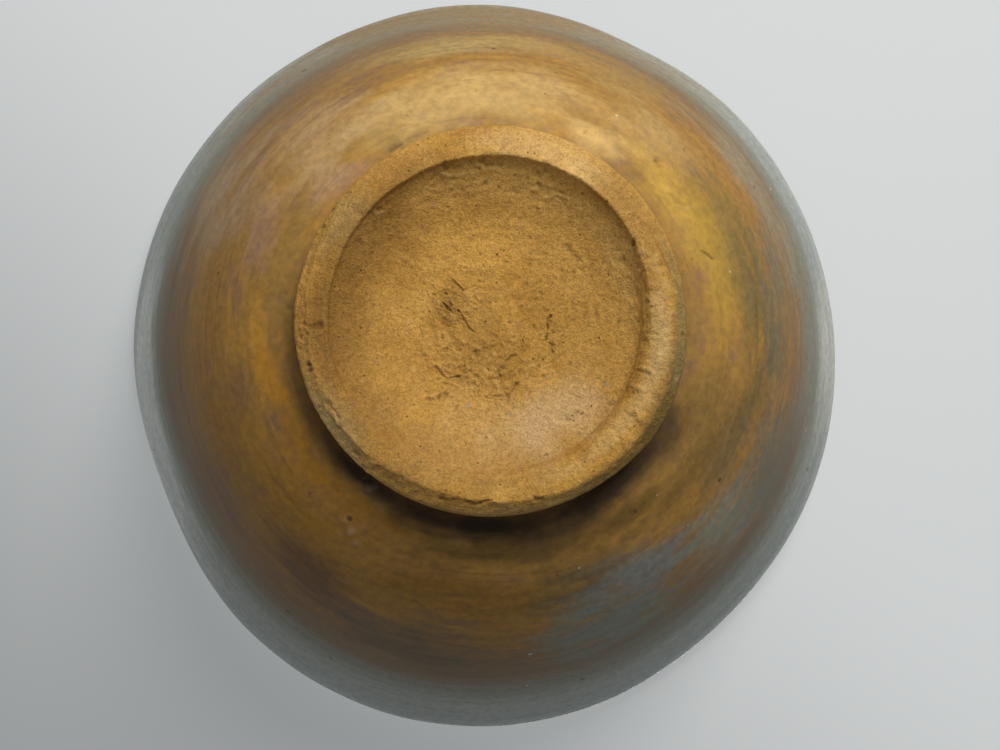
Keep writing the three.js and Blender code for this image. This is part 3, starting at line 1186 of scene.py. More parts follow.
def make_soft_patch() -> bpy.types.NodeTree:
    """A patch with a wandering edge, at a bearing and a distance from the bowl's axis.

    Returns:
        The node group.
    """
    names = ("Cosine", "Sine", "Radius", "Bearing", "Distance", "Around", "Outwards", "Uneven")
    layers, given, wanted = new_group("soft_patch", dict.fromkeys(names, NUMBER), {"Mask": NUMBER})
    cosine, sine, radius = given["Cosine"], given["Sine"], given["Radius"]
    turn_cos = layers.math("COSINE", given["Bearing"])
    turn_sin = layers.math("SINE", given["Bearing"])
    ahead = layers.plus(layers.times(cosine, turn_cos), layers.times(sine, turn_sin))
    aside = layers.minus(layers.times(sine, turn_cos), layers.times(cosine, turn_sin))
    angle = layers.math("ARCTAN2", aside, ahead)
    around = layers.over(layers.times(angle, given["Distance"]), given["Around"])
    outwards = layers.over(layers.minus(radius, given["Distance"]), given["Outwards"])
    gap = layers.math("SQRT", layers.plus(layers.times(around, around), layers.times(outwards, outwards)))
    layers.feed(wanted["Mask"], layers.graded(layers.plus(gap, given["Uneven"]), 1.05, 0.1))
    return layers.tree


def make_specks() -> bpy.types.NodeTree:
    """Scattered dots, as iron in the clay or pinholes in a glaze.

    Returns:
        The node group.
    """
    layers, given, wanted = new_group(
        "specks", {"Place": VECTOR, "Spacing": NUMBER, "Size": NUMBER, "Share": NUMBER}, {"Mask": NUMBER})
    cells = layers.add("ShaderNodeTexVoronoi", feature="F1")
    warp = layers.add("ShaderNodeTexNoise")
    layers.feed(warp.inputs["Vector"], given["Place"])
    warp.inputs["Scale"].default_value = 2.2
    shaken = layers.vector("ADD", given["Place"], layers.scaled(warp.outputs["Color"], 0.35))
    layers.feed(cells.inputs["Vector"], layers.scaled(shaken, layers.over(1.0, given["Spacing"])))
    cells.inputs["Scale"].default_value = 1.0
    pick = layers.add("ShaderNodeSeparateColor")
    layers.feed(pick.inputs[0], cells.outputs["Color"])
    chosen = layers.math("LESS_THAN", pick.outputs[0], given["Share"])
    own_size = layers.times(given["Size"], layers.plus(pick.outputs[1], 0.35))
    dot = layers.minus(1.0, layers.over(cells.outputs["Distance"], own_size))
    layers.feed(wanted["Mask"], layers.times(chosen, layers.graded(dot, 0.0, 0.45)))
    return layers.tree


def make_grit() -> bpy.types.NodeTree:
    """The sandy tooth of an unglazed body: coarse and fine grains together. Its tone follows the same lumps as
    its height, so it is grain colour with painted shade in the hollows between grains.

    Returns:
        The node group.
    """
    layers, given, wanted = new_group(
        "grit", {"Place": VECTOR, "Coarse": NUMBER}, {"Height": NUMBER, "Tone": NUMBER})
    fine = layers.noise(given["Place"], 0.34, 3.0, 0.7)
    middle = layers.noise(given["Place"], 0.85, 3.0, 0.6)
    broad = layers.noise(given["Place"], 2.8, 2.0, 0.5)
    low = layers.plus(layers.times(middle, given["Coarse"]), layers.times(broad, 0.9))
    layers.feed(wanted["Height"], layers.plus(layers.times(fine, 0.7), low))
    layers.feed(wanted["Tone"], layers.plus(layers.times(fine, 0.62), layers.times(middle, 0.38)))
    return layers.tree


@dataclass(frozen=True)
class Patch:
    """One soft area of another colour.

    It lies at a bearing in degrees and at a distance from the axis, and it reaches so far around the bowl and
    outwards, all in millimetres. Strength is how strongly it shows, and wander how uneven its edge is.
    """

    bearing: float
    distance: float
    around: float
    outwards: float
    colour: Colour
    strength: float = 0.8
    wander: float = 0.8


@dataclass(frozen=True)
class Specks:
    """Scattered dots of one kind, with their pattern shifted clear of the other kinds' patterns.

    Spacing and size are in millimetres, share is the part of the places that hold a dot, and strength is how
    strongly a dot shows.
    """

    spacing: float
    size: float
    share: float
    strength: float
    colour: Colour
    shift: Direction | None = None


@dataclass(frozen=True)
class Groups:
    """The node groups that the finishes share."""

    turning_marks: bpy.types.NodeTree
    soft_patch: bpy.types.NodeTree
    specks: bpy.types.NodeTree
    grit: bpy.types.NodeTree

    @classmethod
    def made(cls) -> "Groups":
        """Builds each group once."""
        return cls(make_turning_marks(), make_soft_patch(), make_specks(), make_grit())


def new_material(name: str) -> tuple[bpy.types.Material, Layers]:
    """Starts an empty material.

    Args:
        name: the material's name.

    Returns:
        The material and its layers.
    """
    material = bpy.data.materials.new(name)
    material.use_nodes = True
    material.node_tree.nodes.clear()
    return material, Layers(material.node_tree)


def lay_patches(
        layers: Layers, groups: Groups, place: Socket, under: Socket, patches: tuple[Patch, ...]) -> Socket:
    """Lays soft patches over a colour, one after another.

    Args:
        layers: the material's layers.
        groups: the shared groups.
        place: the place in millimetres.
        under: the colour below.
        patches: the patches, lowest first.

    Returns:
        The colour with its patches.
    """
    cosine, sine, radius, along = round_and_along(layers, place)
    unrolled = layers.joined(
        layers.times(cosine, PATCH_WANDER_REACH), layers.times(sine, PATCH_WANDER_REACH), along)
    uneven = layers.minus(layers.noise(unrolled, 6.0, 4.0, 0.55), 0.5)
    for patch in patches:
        patch_mask = layers.group(
            groups.soft_patch, Cosine=cosine, Sine=sine, Radius=radius, Bearing=math.radians(patch.bearing),
            Distance=patch.distance, Around=patch.around, Outwards=patch.outwards,
            Uneven=layers.times(uneven, PATCH_WANDER * patch.wander))
        under = layers.mix(layers.times(patch_mask["Mask"], patch.strength), under, patch.colour)
    return under


def lay_specks(
        layers: Layers, groups: Groups, place: Socket, under: Socket, kinds: tuple[Specks, ...],
) -> tuple[Socket, Socket]:
    """Lays scattered dots over a colour, one kind after another.

    Args:
        layers: the material's layers.
        groups: the shared groups.
        place: the place in millimetres.
        under: the colour below.
        kinds: the kinds of dots. The last kind's dots are small holes too.

    Returns:
        The colour with its dots, and where the holes are.
    """
    for kind in kinds:
        shifted = layers.vector("ADD", place, kind.shift) if kind.shift else place
        dots = layers.group(
            groups.specks, Place=shifted, Spacing=kind.spacing, Size=kind.size, Share=kind.share)["Mask"]
        under = layers.mix(layers.times(dots, kind.strength), under, kind.colour)
    return under, dots


def lay_stain_and_painted_light(layers: Layers, under: Socket, dark: Colour, pale: Colour) -> Socket:
    """Darkens the marks for their fired colour and painted shade, and lightens the pale ones for torn clay and
    painted light.

    Args:
        layers: the material's layers.
        under: the colour below.
        dark, pale: the colours of the two kinds of mark.

    Returns:
        The colour with its marks.
    """
    stain_and_painted_light = layers.add("ShaderNodeAttribute", attribute_name="stain_and_painted_light").outputs["Fac"]
    under = layers.mix(layers.math("MAXIMUM", stain_and_painted_light, 0.0), under, dark)
    return layers.mix(layers.math("MAXIMUM", layers.times(stain_and_painted_light, -1.0), 0.0), under, pale)


@dataclass(frozen=True)
class BareClay:
    """Unglazed stoneware: sandy, iron-specked, toasted where the flame reached it."""

    body: Colour = (193, 145, 68)
    toasted: Colour = (171, 125, 52)
    pale: Colour = (208, 168, 102)
    iron: Colour = (84, 52, 22)
    # Dark marks show their fired colour and painted shade in cracks and pits; pale marks show torn clay and
    # painted light on raised lips and grains.
    in_marks: Colour = (94, 63, 26)
    torn_and_lit_edge: Colour = (206, 172, 112)
    grey_grain: Colour = (150, 142, 116)
    roughness: float = 0.86
    sheen: float = 0.28
    relief_strength: float = 0.85
    relief_depth: float = 0.30
    specks: tuple[Specks, ...] = (
        Specks(0.82, 0.19, 0.60, 0.50, iron),
        Specks(3.6, 0.12, 0.30, 0.55, grey_grain, (4.0, 9.0, 7.0)),
        Specks(1.5, 0.13, 0.60, 0.66, iron, (13.0, 5.0, 2.0)),
    )
    patches: tuple[Patch, ...] = (
        Patch(106, 28.2, 17, 4.5, (208, 166, 102), 0.85, 0.6),
        Patch(120, 27.5, 7, 2.8, (212, 174, 112), 0.50, 0.8),
        Patch(84, 29.8, 7, 1.8, (182, 130, 62), 0.50, 0.7),
        Patch(66, 28.4, 6, 3.4, (180, 134, 68), 0.50, 0.7),
        Patch(34, 27.2, 9, 4.0, (186, 152, 92), 0.75, 0.6),
        Patch(56, 27.6, 7, 3.2, (176, 124, 58), 0.70, 0.6),
        Patch(142, 27.6, 12, 4.0, (154, 115, 56), 0.72, 0.6),
        Patch(4, 29.8, 8, 1.8, (186, 136, 66), 0.60, 0.6),
        Patch(8, 27.2, 9, 2.6, (158, 110, 48), 0.60, 0.6),
        Patch(-15, 26.0, 9, 3.2, (134, 92, 39), 0.78, 0.6),
        Patch(-34, 29.8, 15, 2.4, (208, 170, 106), 0.80, 0.5),
        Patch(-34, 27.8, 9, 3.0, (162, 136, 86), 0.70, 0.6),
        Patch(-58, 27.4, 11, 2.8, (144, 105, 50), 0.70, 0.6),
        Patch(-100, 29.9, 24, 2.2, (156, 124, 74), 0.80, 0.4),
        Patch(-150, 29.8, 26, 2.6, (106, 84, 40), 0.90, 0.4),
        Patch(-142, 25.8, 22, 1.8, (200, 162, 100), 0.55, 0.6),
        Patch(-170, 26.3, 12, 2.4, (190, 157, 104), 0.72, 0.6),
        Patch(179, 29.5, 17, 1.9, (136, 115, 70), 0.68, 0.6),
        # The recess: painted shade on its side walls, where the hollow turns from the light.
        Patch(24, 20.0, 16, 4.0, (174, 128, 56), 0.55, 0.5),
        Patch(156, 20.0, 14, 4.0, (178, 130, 58), 0.50, 0.5),
        Patch(22, 23.6, 36, 7.5, (128, 92, 38), 0.74, 0.25),
        Patch(-40, 24.0, 24, 6.0, (142, 103, 46), 0.60, 0.25),
        # Painted light on the far wall and round to one side, lightening the shade there.
        Patch(179, 22.0, 15, 4.4, (186, 144, 72), 0.55, 0.3),
        Patch(102, 22.6, 24, 4.6, (222, 172, 90), 0.78, 0.4),
        Patch(150, 23.0, 12, 3.4, (212, 168, 94), 0.65, 0.4),
        # Paler and darker tones across the ceiling.
        Patch(-10, 16.5, 16, 5.0, (172, 128, 58), 0.60, 0.4),
        Patch(140, 17.0, 14, 9.0, (208, 160, 82), 0.50, 0.5),
        Patch(-84, 21.5, 24, 6.0, (166, 126, 68), 0.60, 0.4),
        Patch(-98, 15.0, 15, 6.0, (196, 154, 90), 0.60, 0.5),
        # Painted sheen on the near side of the ceiling.
        Patch(-124, 17.5, 13, 7.5, (196, 162, 114), 0.78, 0.5),
        # More tones across the ceiling and round its middle.
        Patch(182, 12.5, 16, 8.0, (180, 136, 64), 0.50, 0.5),
        Patch(75, 12.5, 16, 5.0, (203, 153, 72), 0.60, 0.7),
        Patch(14, 11.8, 9, 5.5, (212, 164, 84), 0.60, 0.6),
        Patch(-65, 6.5, 7, 6.0, (172, 128, 62), 0.50, 0.8),
        Patch(20, 7.0, 4, 3.5, (142, 104, 48), 0.60, 0.8),
        Patch(0, 1.0, 3, 5.0, (172, 130, 64), 0.50, 0.8),
    )

    def made(self, groups: Groups) -> bpy.types.Material:
        """Builds the material.

        Args:
            groups: the shared groups.

        Returns:
            The material.
        """
        material, layers = new_material("bare_clay")
        place = layers.place_in_mm()
        clouds = layers.noise(place, 9.0, 4.0, 0.55)
        colour = layers.mix(layers.graded(clouds, 0.36, 0.66), self.toasted, self.body)
        drifts = layers.noise(place, 4.0, 5.0, 0.62)
        colour = layers.mix(layers.graded(drifts, 0.52, 0.75, 0.0, 0.34), colour, self.pale)
        colour = lay_patches(layers, groups, place, colour, self.patches)
        grit = layers.group(groups.grit, Place=place, Coarse=0.8)
        # Grain colour that follows the grit's height, so the hollows between grains get painted shade.
        colour = layers.toned(colour, layers.graded(grit["Tone"], 0.33, 0.67, 0.72, 1.26))
        colour, holes = lay_specks(layers, groups, place, colour, self.specks)
        colour = lay_stain_and_painted_light(layers, colour, self.in_marks, self.torn_and_lit_edge)
        height = layers.plus(grit["Height"], layers.times(holes, -0.5))
        tooling = layers.group(groups.turning_marks, Place=place, Width=0.7, Length=10.0, Shift=3.0)
        height = layers.plus(height, layers.times(tooling["Height"], 0.55))
        shader = layers.add("ShaderNodeBsdfPrincipled")
        layers.feed(shader.inputs["Base Color"], colour)
        shader.inputs["Roughness"].default_value = self.roughness
        shader.inputs["Specular IOR Level"].default_value = self.sheen
        layers.bump(shader, height, self.relief_strength, self.relief_depth)
        layers.show(shader.outputs[0])
        return material


@dataclass(frozen=True)
class AshGlaze:
    """A thin ash glaze: ochre where it is thin over the belly, grey-green where it gathers at the mouth."""

    name: str
    bands: tuple[tuple[float, Colour], ...]
    patches: tuple[Patch, ...] = ()
    iron: Colour = (86, 58, 28)
    light_streak: Colour = (226, 206, 164)
    dark_streak: Colour = (128, 102, 72)
    golden_cloud: Colour = (184, 132, 46)
    mauve_cloud: Colour = (132, 98, 74)
    # Pale crumbs in the glaze, which also paint small glints on raised bumps and specks.
    pale_crumb_and_glint: Colour = (206, 200, 184)
    roughness: float = 0.54
    drier_low: float = 0.24
    ior: float = 1.52
    relief_strength: float = 0.32
    relief_depth: float = 0.10
    wander: float = 6.0
    specks: tuple[Specks, ...] = (
        # Pale specks that paint small glints.
        Specks(6.5, 0.05, 0.30, 0.70, pale_crumb_and_glint, (8.0, 2.0, 5.0)),
        Specks(2.2, 0.13, 0.35, 0.40, iron),
        Specks(7.5, 0.07, 0.45, 0.85, iron, (3.0, 7.0, 1.0)),
    )

    def banded(self, layers: Layers, height: Socket) -> Socket:
        """The colour by height up the wall, each band running softly into the next.

        Args:
            layers: the material's layers.
            height: the height, in millimetres.

        Returns:
            The colour.
        """
        (start, colour), *rest = self.bands
        for stop, next_colour in rest:
            colour = layers.mix(layers.graded(height, start, stop), colour, next_colour)
            start = stop
        return colour

    def made(self, groups: Groups) -> bpy.types.Material:
        """Builds the material.

        Args:
            groups: the shared groups.

        Returns:
            The material.
        """
        material, layers = new_material(self.name)
        place = layers.place_in_mm()
        _, _, true_height = layers.parts(place)
        drift = layers.group(groups.turning_marks, Place=place, Width=9.0, Length=60.0, Shift=0.0)
        height = layers.plus(true_height, layers.times(layers.minus(drift["Height"], 0.5), self.wander))
        colour = self.banded(layers, height)
        below_band = layers.graded(height, 42.0, 27.0)
        for width, length, shift, cloud in ((7.0, 20.0, 5.0, self.golden_cloud),
                                            (9.0, 16.0, 23.0, self.mauve_cloud)):
            marks = layers.group(groups.turning_marks, Place=place, Width=width, Length=length, Shift=shift)
            share = layers.graded(marks["Height"], 0.50, 0.70, 0.0, 0.60)
            colour = layers.mix(layers.times(share, below_band), colour, cloud)
        colour = lay_patches(layers, groups, place, colour, self.patches)
        sponged = layers.group(groups.turning_marks, Place=place, Width=1.3, Length=22.0, Shift=11.0)
        streaks = sponged["Height"]
        light = layers.graded(streaks, 0.52, 0.78, 0.0, 0.22)
        dark = layers.graded(streaks, 0.46, 0.24, 0.0, 0.28)
        colour = layers.mix(light, colour, self.light_streak, "SOFT_LIGHT")
        colour = layers.mix(dark, colour, self.dark_streak, "MULTIPLY")
        mottle = layers.noise(place, 1.4, 4.0, 0.65)
        colour = layers.toned(colour, layers.graded(mottle, 0.30, 0.70, 0.85, 1.13))
        colour, holes = lay_specks(layers, groups, place, colour, self.specks)
        colour = lay_stain_and_painted_light(layers, colour, self.iron, self.pale_crumb_and_glint)
        rough = layers.graded(mottle, 0.3, 0.7, self.roughness - 0.05, self.roughness + 0.09)
        rough = layers.plus(rough, layers.graded(true_height, 26.0, 12.0, 0.0, self.drier_low))
        fine = layers.noise(place, 0.45, 3.0, 0.6)
        relief = layers.plus(layers.times(streaks, 0.9), layers.times(fine, 0.28))
        relief = layers.minus(relief, layers.times(holes, 0.9))
        shader = layers.add("ShaderNodeBsdfPrincipled")
        layers.feed(shader.inputs["Base Color"], colour)
        layers.feed(shader.inputs["Roughness"], rough)
        shader.inputs["IOR"].default_value = self.ior
        layers.bump(shader, relief, self.relief_strength, self.relief_depth)
        layers.show(shader.outputs[0])
        return material


OUTER_GLAZE = AshGlaze(
    name="outer_ash_glaze",
    bands=(
        (7.0, (150, 112, 46)),
        (12.0, (160, 118, 48)),
        (24.0, (158, 115, 48)),
        (31.0, (144, 108, 60)),
        (38.0, (132, 108, 76)),
        # From here up the glaze turns grey: partly its own colour at the mouth, partly painted reflection of
        # the pale cloth, palest in the top band.
        (46.0, (140, 138, 121)),
        (53.0, (162, 165, 155)),
        (60.0, (166, 171, 164)),
        (68.0, (196, 201, 195)),
    ),
    patches=(
        Patch(86, 66.0, 72, 12.0, (152, 121, 72), 0.90, 0.5),
        # Painted sheen: the broad soft highlight on the belly on the window's side.
        Patch(84, 38.5, 34, 9.0, (201, 165, 98), 0.85, 0.5),
        Patch(82, 51.5, 26, 4.5, (178, 151, 88), 0.75, 0.6),
        Patch(118, 51.0, 16, 8.0, (162, 130, 68), 0.55, 0.8),
        # Painted reflection of the pale cloth at the rim on two sides, over the grey glaze.
        Patch(-8, 66.5, 40, 7.0, (226, 228, 220), 0.85, 0.5),
        Patch(180, 66.5, 22, 6.0, (204, 203, 190), 0.80, 0.6),
        Patch(144, 36.0, 15, 4.5, (197, 155, 58), 0.75, 0.7),
        Patch(48, 32.6, 7, 2.4, (158, 120, 90), 0.60, 0.6),
        Patch(130, 43.0, 14, 6.0, (176, 143, 84), 0.70, 0.7),
        Patch(120, 35.0, 8, 3.6, (216, 176, 104), 0.72, 0.6),
        Patch(152, 42.5, 12, 6.0, (142, 112, 45), 0.78, 0.7),
        Patch(165, 38.5, 20, 5.0, (174, 136, 44), 0.78, 0.6),
        Patch(172, 44.5, 22, 6.0, (106, 92, 48), 0.72, 0.7),
        Patch(167, 50.5, 17, 5.0, (122, 111, 84), 0.78, 0.8),
        Patch(-178, 48.5, 12, 4.5, (102, 100, 80), 0.65, 0.7),
        Patch(-167, 46.0, 9, 4.0, (96, 84, 46), 0.60, 0.7),
        Patch(178, 58.5, 26, 6.0, (142, 138, 118), 0.75, 0.8),
        Patch(150, 55.0, 24, 6.0, (156, 142, 112), 0.70, 0.8),
        Patch(48, 43.0, 16, 8.0, (186, 151, 106), 0.65, 0.8),
        Patch(28, 54.0, 16, 7.0, (172, 146, 110), 0.70, 0.8),
        Patch(26, 47.0, 10, 5.0, (160, 132, 98), 0.60, 0.7),
        Patch(40, 35.0, 7, 3.2, (178, 141, 106), 0.60, 0.7),
        Patch(22, 40.5, 9, 4.0, (156, 120, 94), 0.60, 0.8),
        Patch(-2, 37.8, 8, 3.0, (184, 132, 38), 0.80, 0.7),
        Patch(-14, 42.3, 6, 3.6, (134, 96, 68), 0.65, 0.8),
        Patch(-15, 48.0, 18, 7.0, (164, 116, 44), 0.55, 0.8),
        Patch(-54, 51.0, 13, 6.5, (112, 80, 50), 0.75, 0.8),
        Patch(-30, 53.0, 12, 4.0, (120, 90, 66), 0.60, 0.8),
        Patch(-40, 41.5, 22, 5.0, (168, 120, 28), 0.65, 0.8),
        Patch(-42, 36.2, 22, 4.2, (174, 118, 14), 0.72, 0.7),
        Patch(-14, 36.3, 9, 3.6, (188, 128, 22), 0.70, 0.6),
        Patch(-82, 43.0, 24, 6.0, (136, 96, 16), 0.66, 0.8),
        Patch(-78, 54.0, 24, 6.5, (102, 93, 72), 0.70, 0.9),
        Patch(-114, 53.5, 20, 8.0, (124, 132, 118), 0.85, 0.8),
        Patch(-113, 43.5, 12, 5.0, (110, 94, 60), 0.70, 0.8),
        Patch(-122, 47.2, 14, 6.0, (128, 134, 130), 0.82, 0.7),
        Patch(-143, 52.0, 14, 8.0, (140, 142, 124), 0.82, 0.8),
        Patch(-151, 43.5, 9, 4.0, (100, 94, 66), 0.65, 0.7),
        Patch(-157, 53.0, 16, 8.0, (118, 111, 90), 0.80, 0.8),
        Patch(-141, 40.5, 14, 4.0, (120, 88, 31), 0.60, 0.8),
        Patch(-156, 38.5, 14, 8.0, (122, 93, 38), 0.70, 0.7),
        # Painted shade on the belly round the near side of the foot, where the ring's shadow falls.
        Patch(-98, 36.2, 32, 4.6, (70, 48, 4), 0.68, 0.6),
        Patch(-128, 37.2, 15, 4.0, (98, 72, 12), 0.66, 0.7),
        Patch(-146, 34.6, 9, 2.6, (92, 66, 18), 0.60, 0.3),
        # Painted shadow: the near-black crescent in the crevice beside the ring, in the ring's shadow.
        Patch(-50, 31.5, 22, 2.7, (48, 25, 4), 0.95, 0.3),
        Patch(-88, 32.0, 24, 3.8, (44, 24, 4), 0.95, 0.3),
        Patch(-128, 32.0, 27, 4.2, (48, 28, 4), 0.92, 0.3),
    ),
)

INNER_GLAZE = AshGlaze(
    name="inner_ash_glaze",
    bands=(
        (14.6, (116, 100, 52)),
        (17.0, (146, 116, 58)),
        (30.0, (160, 122, 60)),
        (38.0, (142, 118, 78)),
        (46.0, (138, 130, 106)),
        (54.0, (148, 150, 136)),
        (68.0, (152, 156, 146)),
    ),
    patches=(
        Patch(30, 34.0, 26, 10.0, (170, 132, 62), 0.60, 0.8),
        Patch(-110, 44.0, 30, 12.0, (132, 102, 60), 0.60, 0.8),
        Patch(160, 52.0, 26, 9.0, (120, 112, 86), 0.55, 0.8),
    ),
    roughness=0.40,
    drier_low=0.0,
)


# The pieces.


@dataclass
class ClayBowl:
    """The thrown body: trimmed recess, bare clay round the foot, and the wall that the glazes hide."""

    form: BowlForm
    curl_step: float = 0.17
    recess_step: float = 0.28
    bare_step: float = 0.3
    hidden_step: float = 6.5
    tuck_under_glaze: float = 0.08
    bare_past_edge: float = 1.2
    trimming: tuple[Grain, ...] = (Grain(0.05, 6.0, 11), Grain(0.03, 1.9, 12), Grain(0.018, 0.7, 13))
    curl_height: float = 0.025
    tool_height: float = 0.014

    def built(self) -> bpy.types.Object:
        """Turns the body and cuts its marks.

        Returns:
            The piece.
        """
        form = self.form
        wall = form.outer_wall(self.bare_step)
        bare_radius = form.seat_radius + form.glaze_clear_of_foot + self.bare_past_edge
        bare = [p for p in wall if p[0] < bare_radius]
        hidden = [p for p in form.outer_wall(self.hidden_step) if p[0] > bare[-1][0] + 1.0]
        hidden += form.lip(1.0) + form.inner_wall(self.hidden_step)
        outline = form.recess_ceiling(self.curl_step, self.recess_step)
        outline += form.luted_joint()[1:-1] + bare
        outline += coated(hidden, [-self.tuck_under_glaze] * len(hidden))[:-1]
        outline.append((0.0, form.well_height - self.tuck_under_glaze))
        piece = turn("thrown_body", outline, Resolution.FOOT.value)
        work = HandWork(piece, form)
        recess = self.fading(work, form.recess_radius - 0.5)
        work.push(recess * work.uneven(self.trimming))
        curl = np.sin(work.radius * 2.4 - work.bearing) * bump_at(work.radius, 6.0, 4.5)
        tool = np.sin(work.radius * 3.7 + 2 * work.bearing + 0.8 * work.grain(12.0, 14))
        work.push(recess * (self.curl_height * curl + self.tool_height * tool))
        work.draw_all(RECESS_MARKS, CLAY_MARK_SEED, RECESS_CRUMBS)
        work.lean_and_sag()
        work.finish()
        return piece

    @staticmethod
    def fading(work: HandWork, outer: float) -> np.ndarray:
        """Lets hand work fade out before the join with the ring."""
        under = work.below & (work.true[:, 2] < 8.0)
        return under * (1 - smoothstep(outer - 2.0, outer, work.radius))


@dataclass
class FootRing:
    """The turned ring: hollow inside, a worn land, a bevel with an uneven crest, and an undercut outside."""

    form: BowlForm
    step: float = 0.27
    undercut_round: float = 1.4
    crest_round: float = 0.4
    widest_round: float = 1.0
    edge_round: float = 0.3
    far_wear: float = 0.75
    near_wear: float = 0.85
    step_easing: float = 1.5
    grit: tuple[Grain, ...] = (Grain(0.06, 2.6, 21), Grain(0.04, 0.9, 22), Grain(0.02, 0.5, 25))
    torn_grit: tuple[Grain, ...] = (Grain(0.06, 0.8, 23), Grain(0.06, 1.5, 24))
    torn_bearing: float = -148.0
    crest_swing: tuple[Wave, ...] = (Wave(0.35, 2, 0.5), Wave(0.2, 5, -1.0))
    outer_swells: tuple[Squeeze, ...] = (
        Squeeze(100, 52, 0.90),
        Squeeze(0, 34, 0.45),
        Squeeze(-152, 24, 0.70),
    )
    inner_swells: tuple[Squeeze, ...] = (Squeeze(105, 48, 0.40),)

    def built(self) -> bpy.types.Object:
        """Turns the ring and works its crest, chips and cracks.

        Returns:
            The piece.
        """
        form = self.form
        outline = form.ring_hollow(self.step)
        outline += rounded([
            (*form.knee, 0),
            (form.knee[0] + form.step_lean, 0.0, self.edge_round),
            (form.land_outer, 0.0, self.crest_round),
            (form.foot_radius, form.bevel_height, self.widest_round),
            (form.seat_radius + 0.35, form.foot_height - 1.1, self.undercut_round),
            (form.seat_radius, form.foot_height, 0),
        ], self.step)[1:]
        outline += form.luted_joint()[::-1][1:]
        piece = turn("foot_ring_worked", outline, Resolution.FOOT.value)
        work = HandWork(piece, form)
        free = smoothstep(form.recess_radius, form.recess_radius + 2.0, work.radius)
        free *= 1 - smoothstep(form.foot_height - 0.9, form.foot_height - 0.1, work.true[:, 2])
        self.uneven_crest(work)
        self.out_of_round(work)
        crumbly = bump_at(np.cos(work.bearing - math.radians(self.torn_bearing)), 1.0, 0.06)
        crumbly *= bump_at(work.radius, 26.6, 2.0) * (work.true[:, 2] < 3)
        work.push(free * (work.uneven(self.grit) + crumbly * work.uneven(self.torn_grit)))
        work.draw_all((*RECESS_MARKS, *RING_MARKS), CLAY_MARK_SEED, RING_CRUMBS)
        work.lean_and_sag()
        work.finish()
        return piece

    def uneven_crest(self, work: HandWork) -> None:
        """Wears the land into a crest, along its inner edge on the far side and further out on the near side.

        Args:
            work: the ring's hand work.
        """
        form = self.form
        far = smoothstep(-0.75, 0.35, np.sin(work.bearing - math.radians(10)))
        outside = smoothstep(form.land_inner + 0.2, form.land_outer, work.radius) * (work.true[:, 2] < 4.0)
        low = 1 - smoothstep(0.0, form.bevel_height, work.true[:, 2])
        work.at[:, 2] += self.far_wear * far * outside * low
        near = 1 - far
        inside = 1 - smoothstep(form.land_inner - 1.6, form.land_outer, work.radius)
        inside *= smoothstep(form.recess_radius + 0.5, form.land_inner - 1.2, work.radius)
        work.at[:, 2] += self.near_wear * near * inside * (1 - smoothstep(1.5, 4.5, work.true[:, 2]))
        soft = 1 - smoothstep(-0.75, 0.35, np.sin(work.bearing + math.radians(30)))
        eased = self.step_easing * soft * bump_at(work.true[:, 2], form.step_height, 1.5)
        eased *= work.radius < form.land_inner
        crest = bump_at(work.radius, form.land_outer, 1.6) * low
        work.push_from_axis(work.waving(self.crest_swing) * crest - eased)

    def out_of_round(self, work: HandWork) -> None:
        """Lets the ring's outside stand proud in three places, and its inner edge on the far side.

        Args:
            work: the ring's hand work.
        """
        form = self.form
        outside = smoothstep(form.land_inner + 0.5, form.land_outer, work.radius)
        outside *= 1 - smoothstep(4.0, form.foot_height - 0.3, work.true[:, 2])
        inner_edge = work.squeezed(self.inner_swells) * bump_at(work.radius, form.land_inner, 1.3)
        inner_edge *= work.true[:, 2] < 4.0
        work.push_from_axis(work.squeezed(self.outer_swells) * outside + inner_edge)


POINTS_AT_A_TIME = 20000
ON_OUTLINE = 0.02              # millimetres within which a point belongs to an outline


@dataclass(frozen=True)
class ThrowingLine:
    """A fine line round the wall: its level and its reach in millimetres, and how far it stands out."""

    level: float
    reach: float
    amount: float


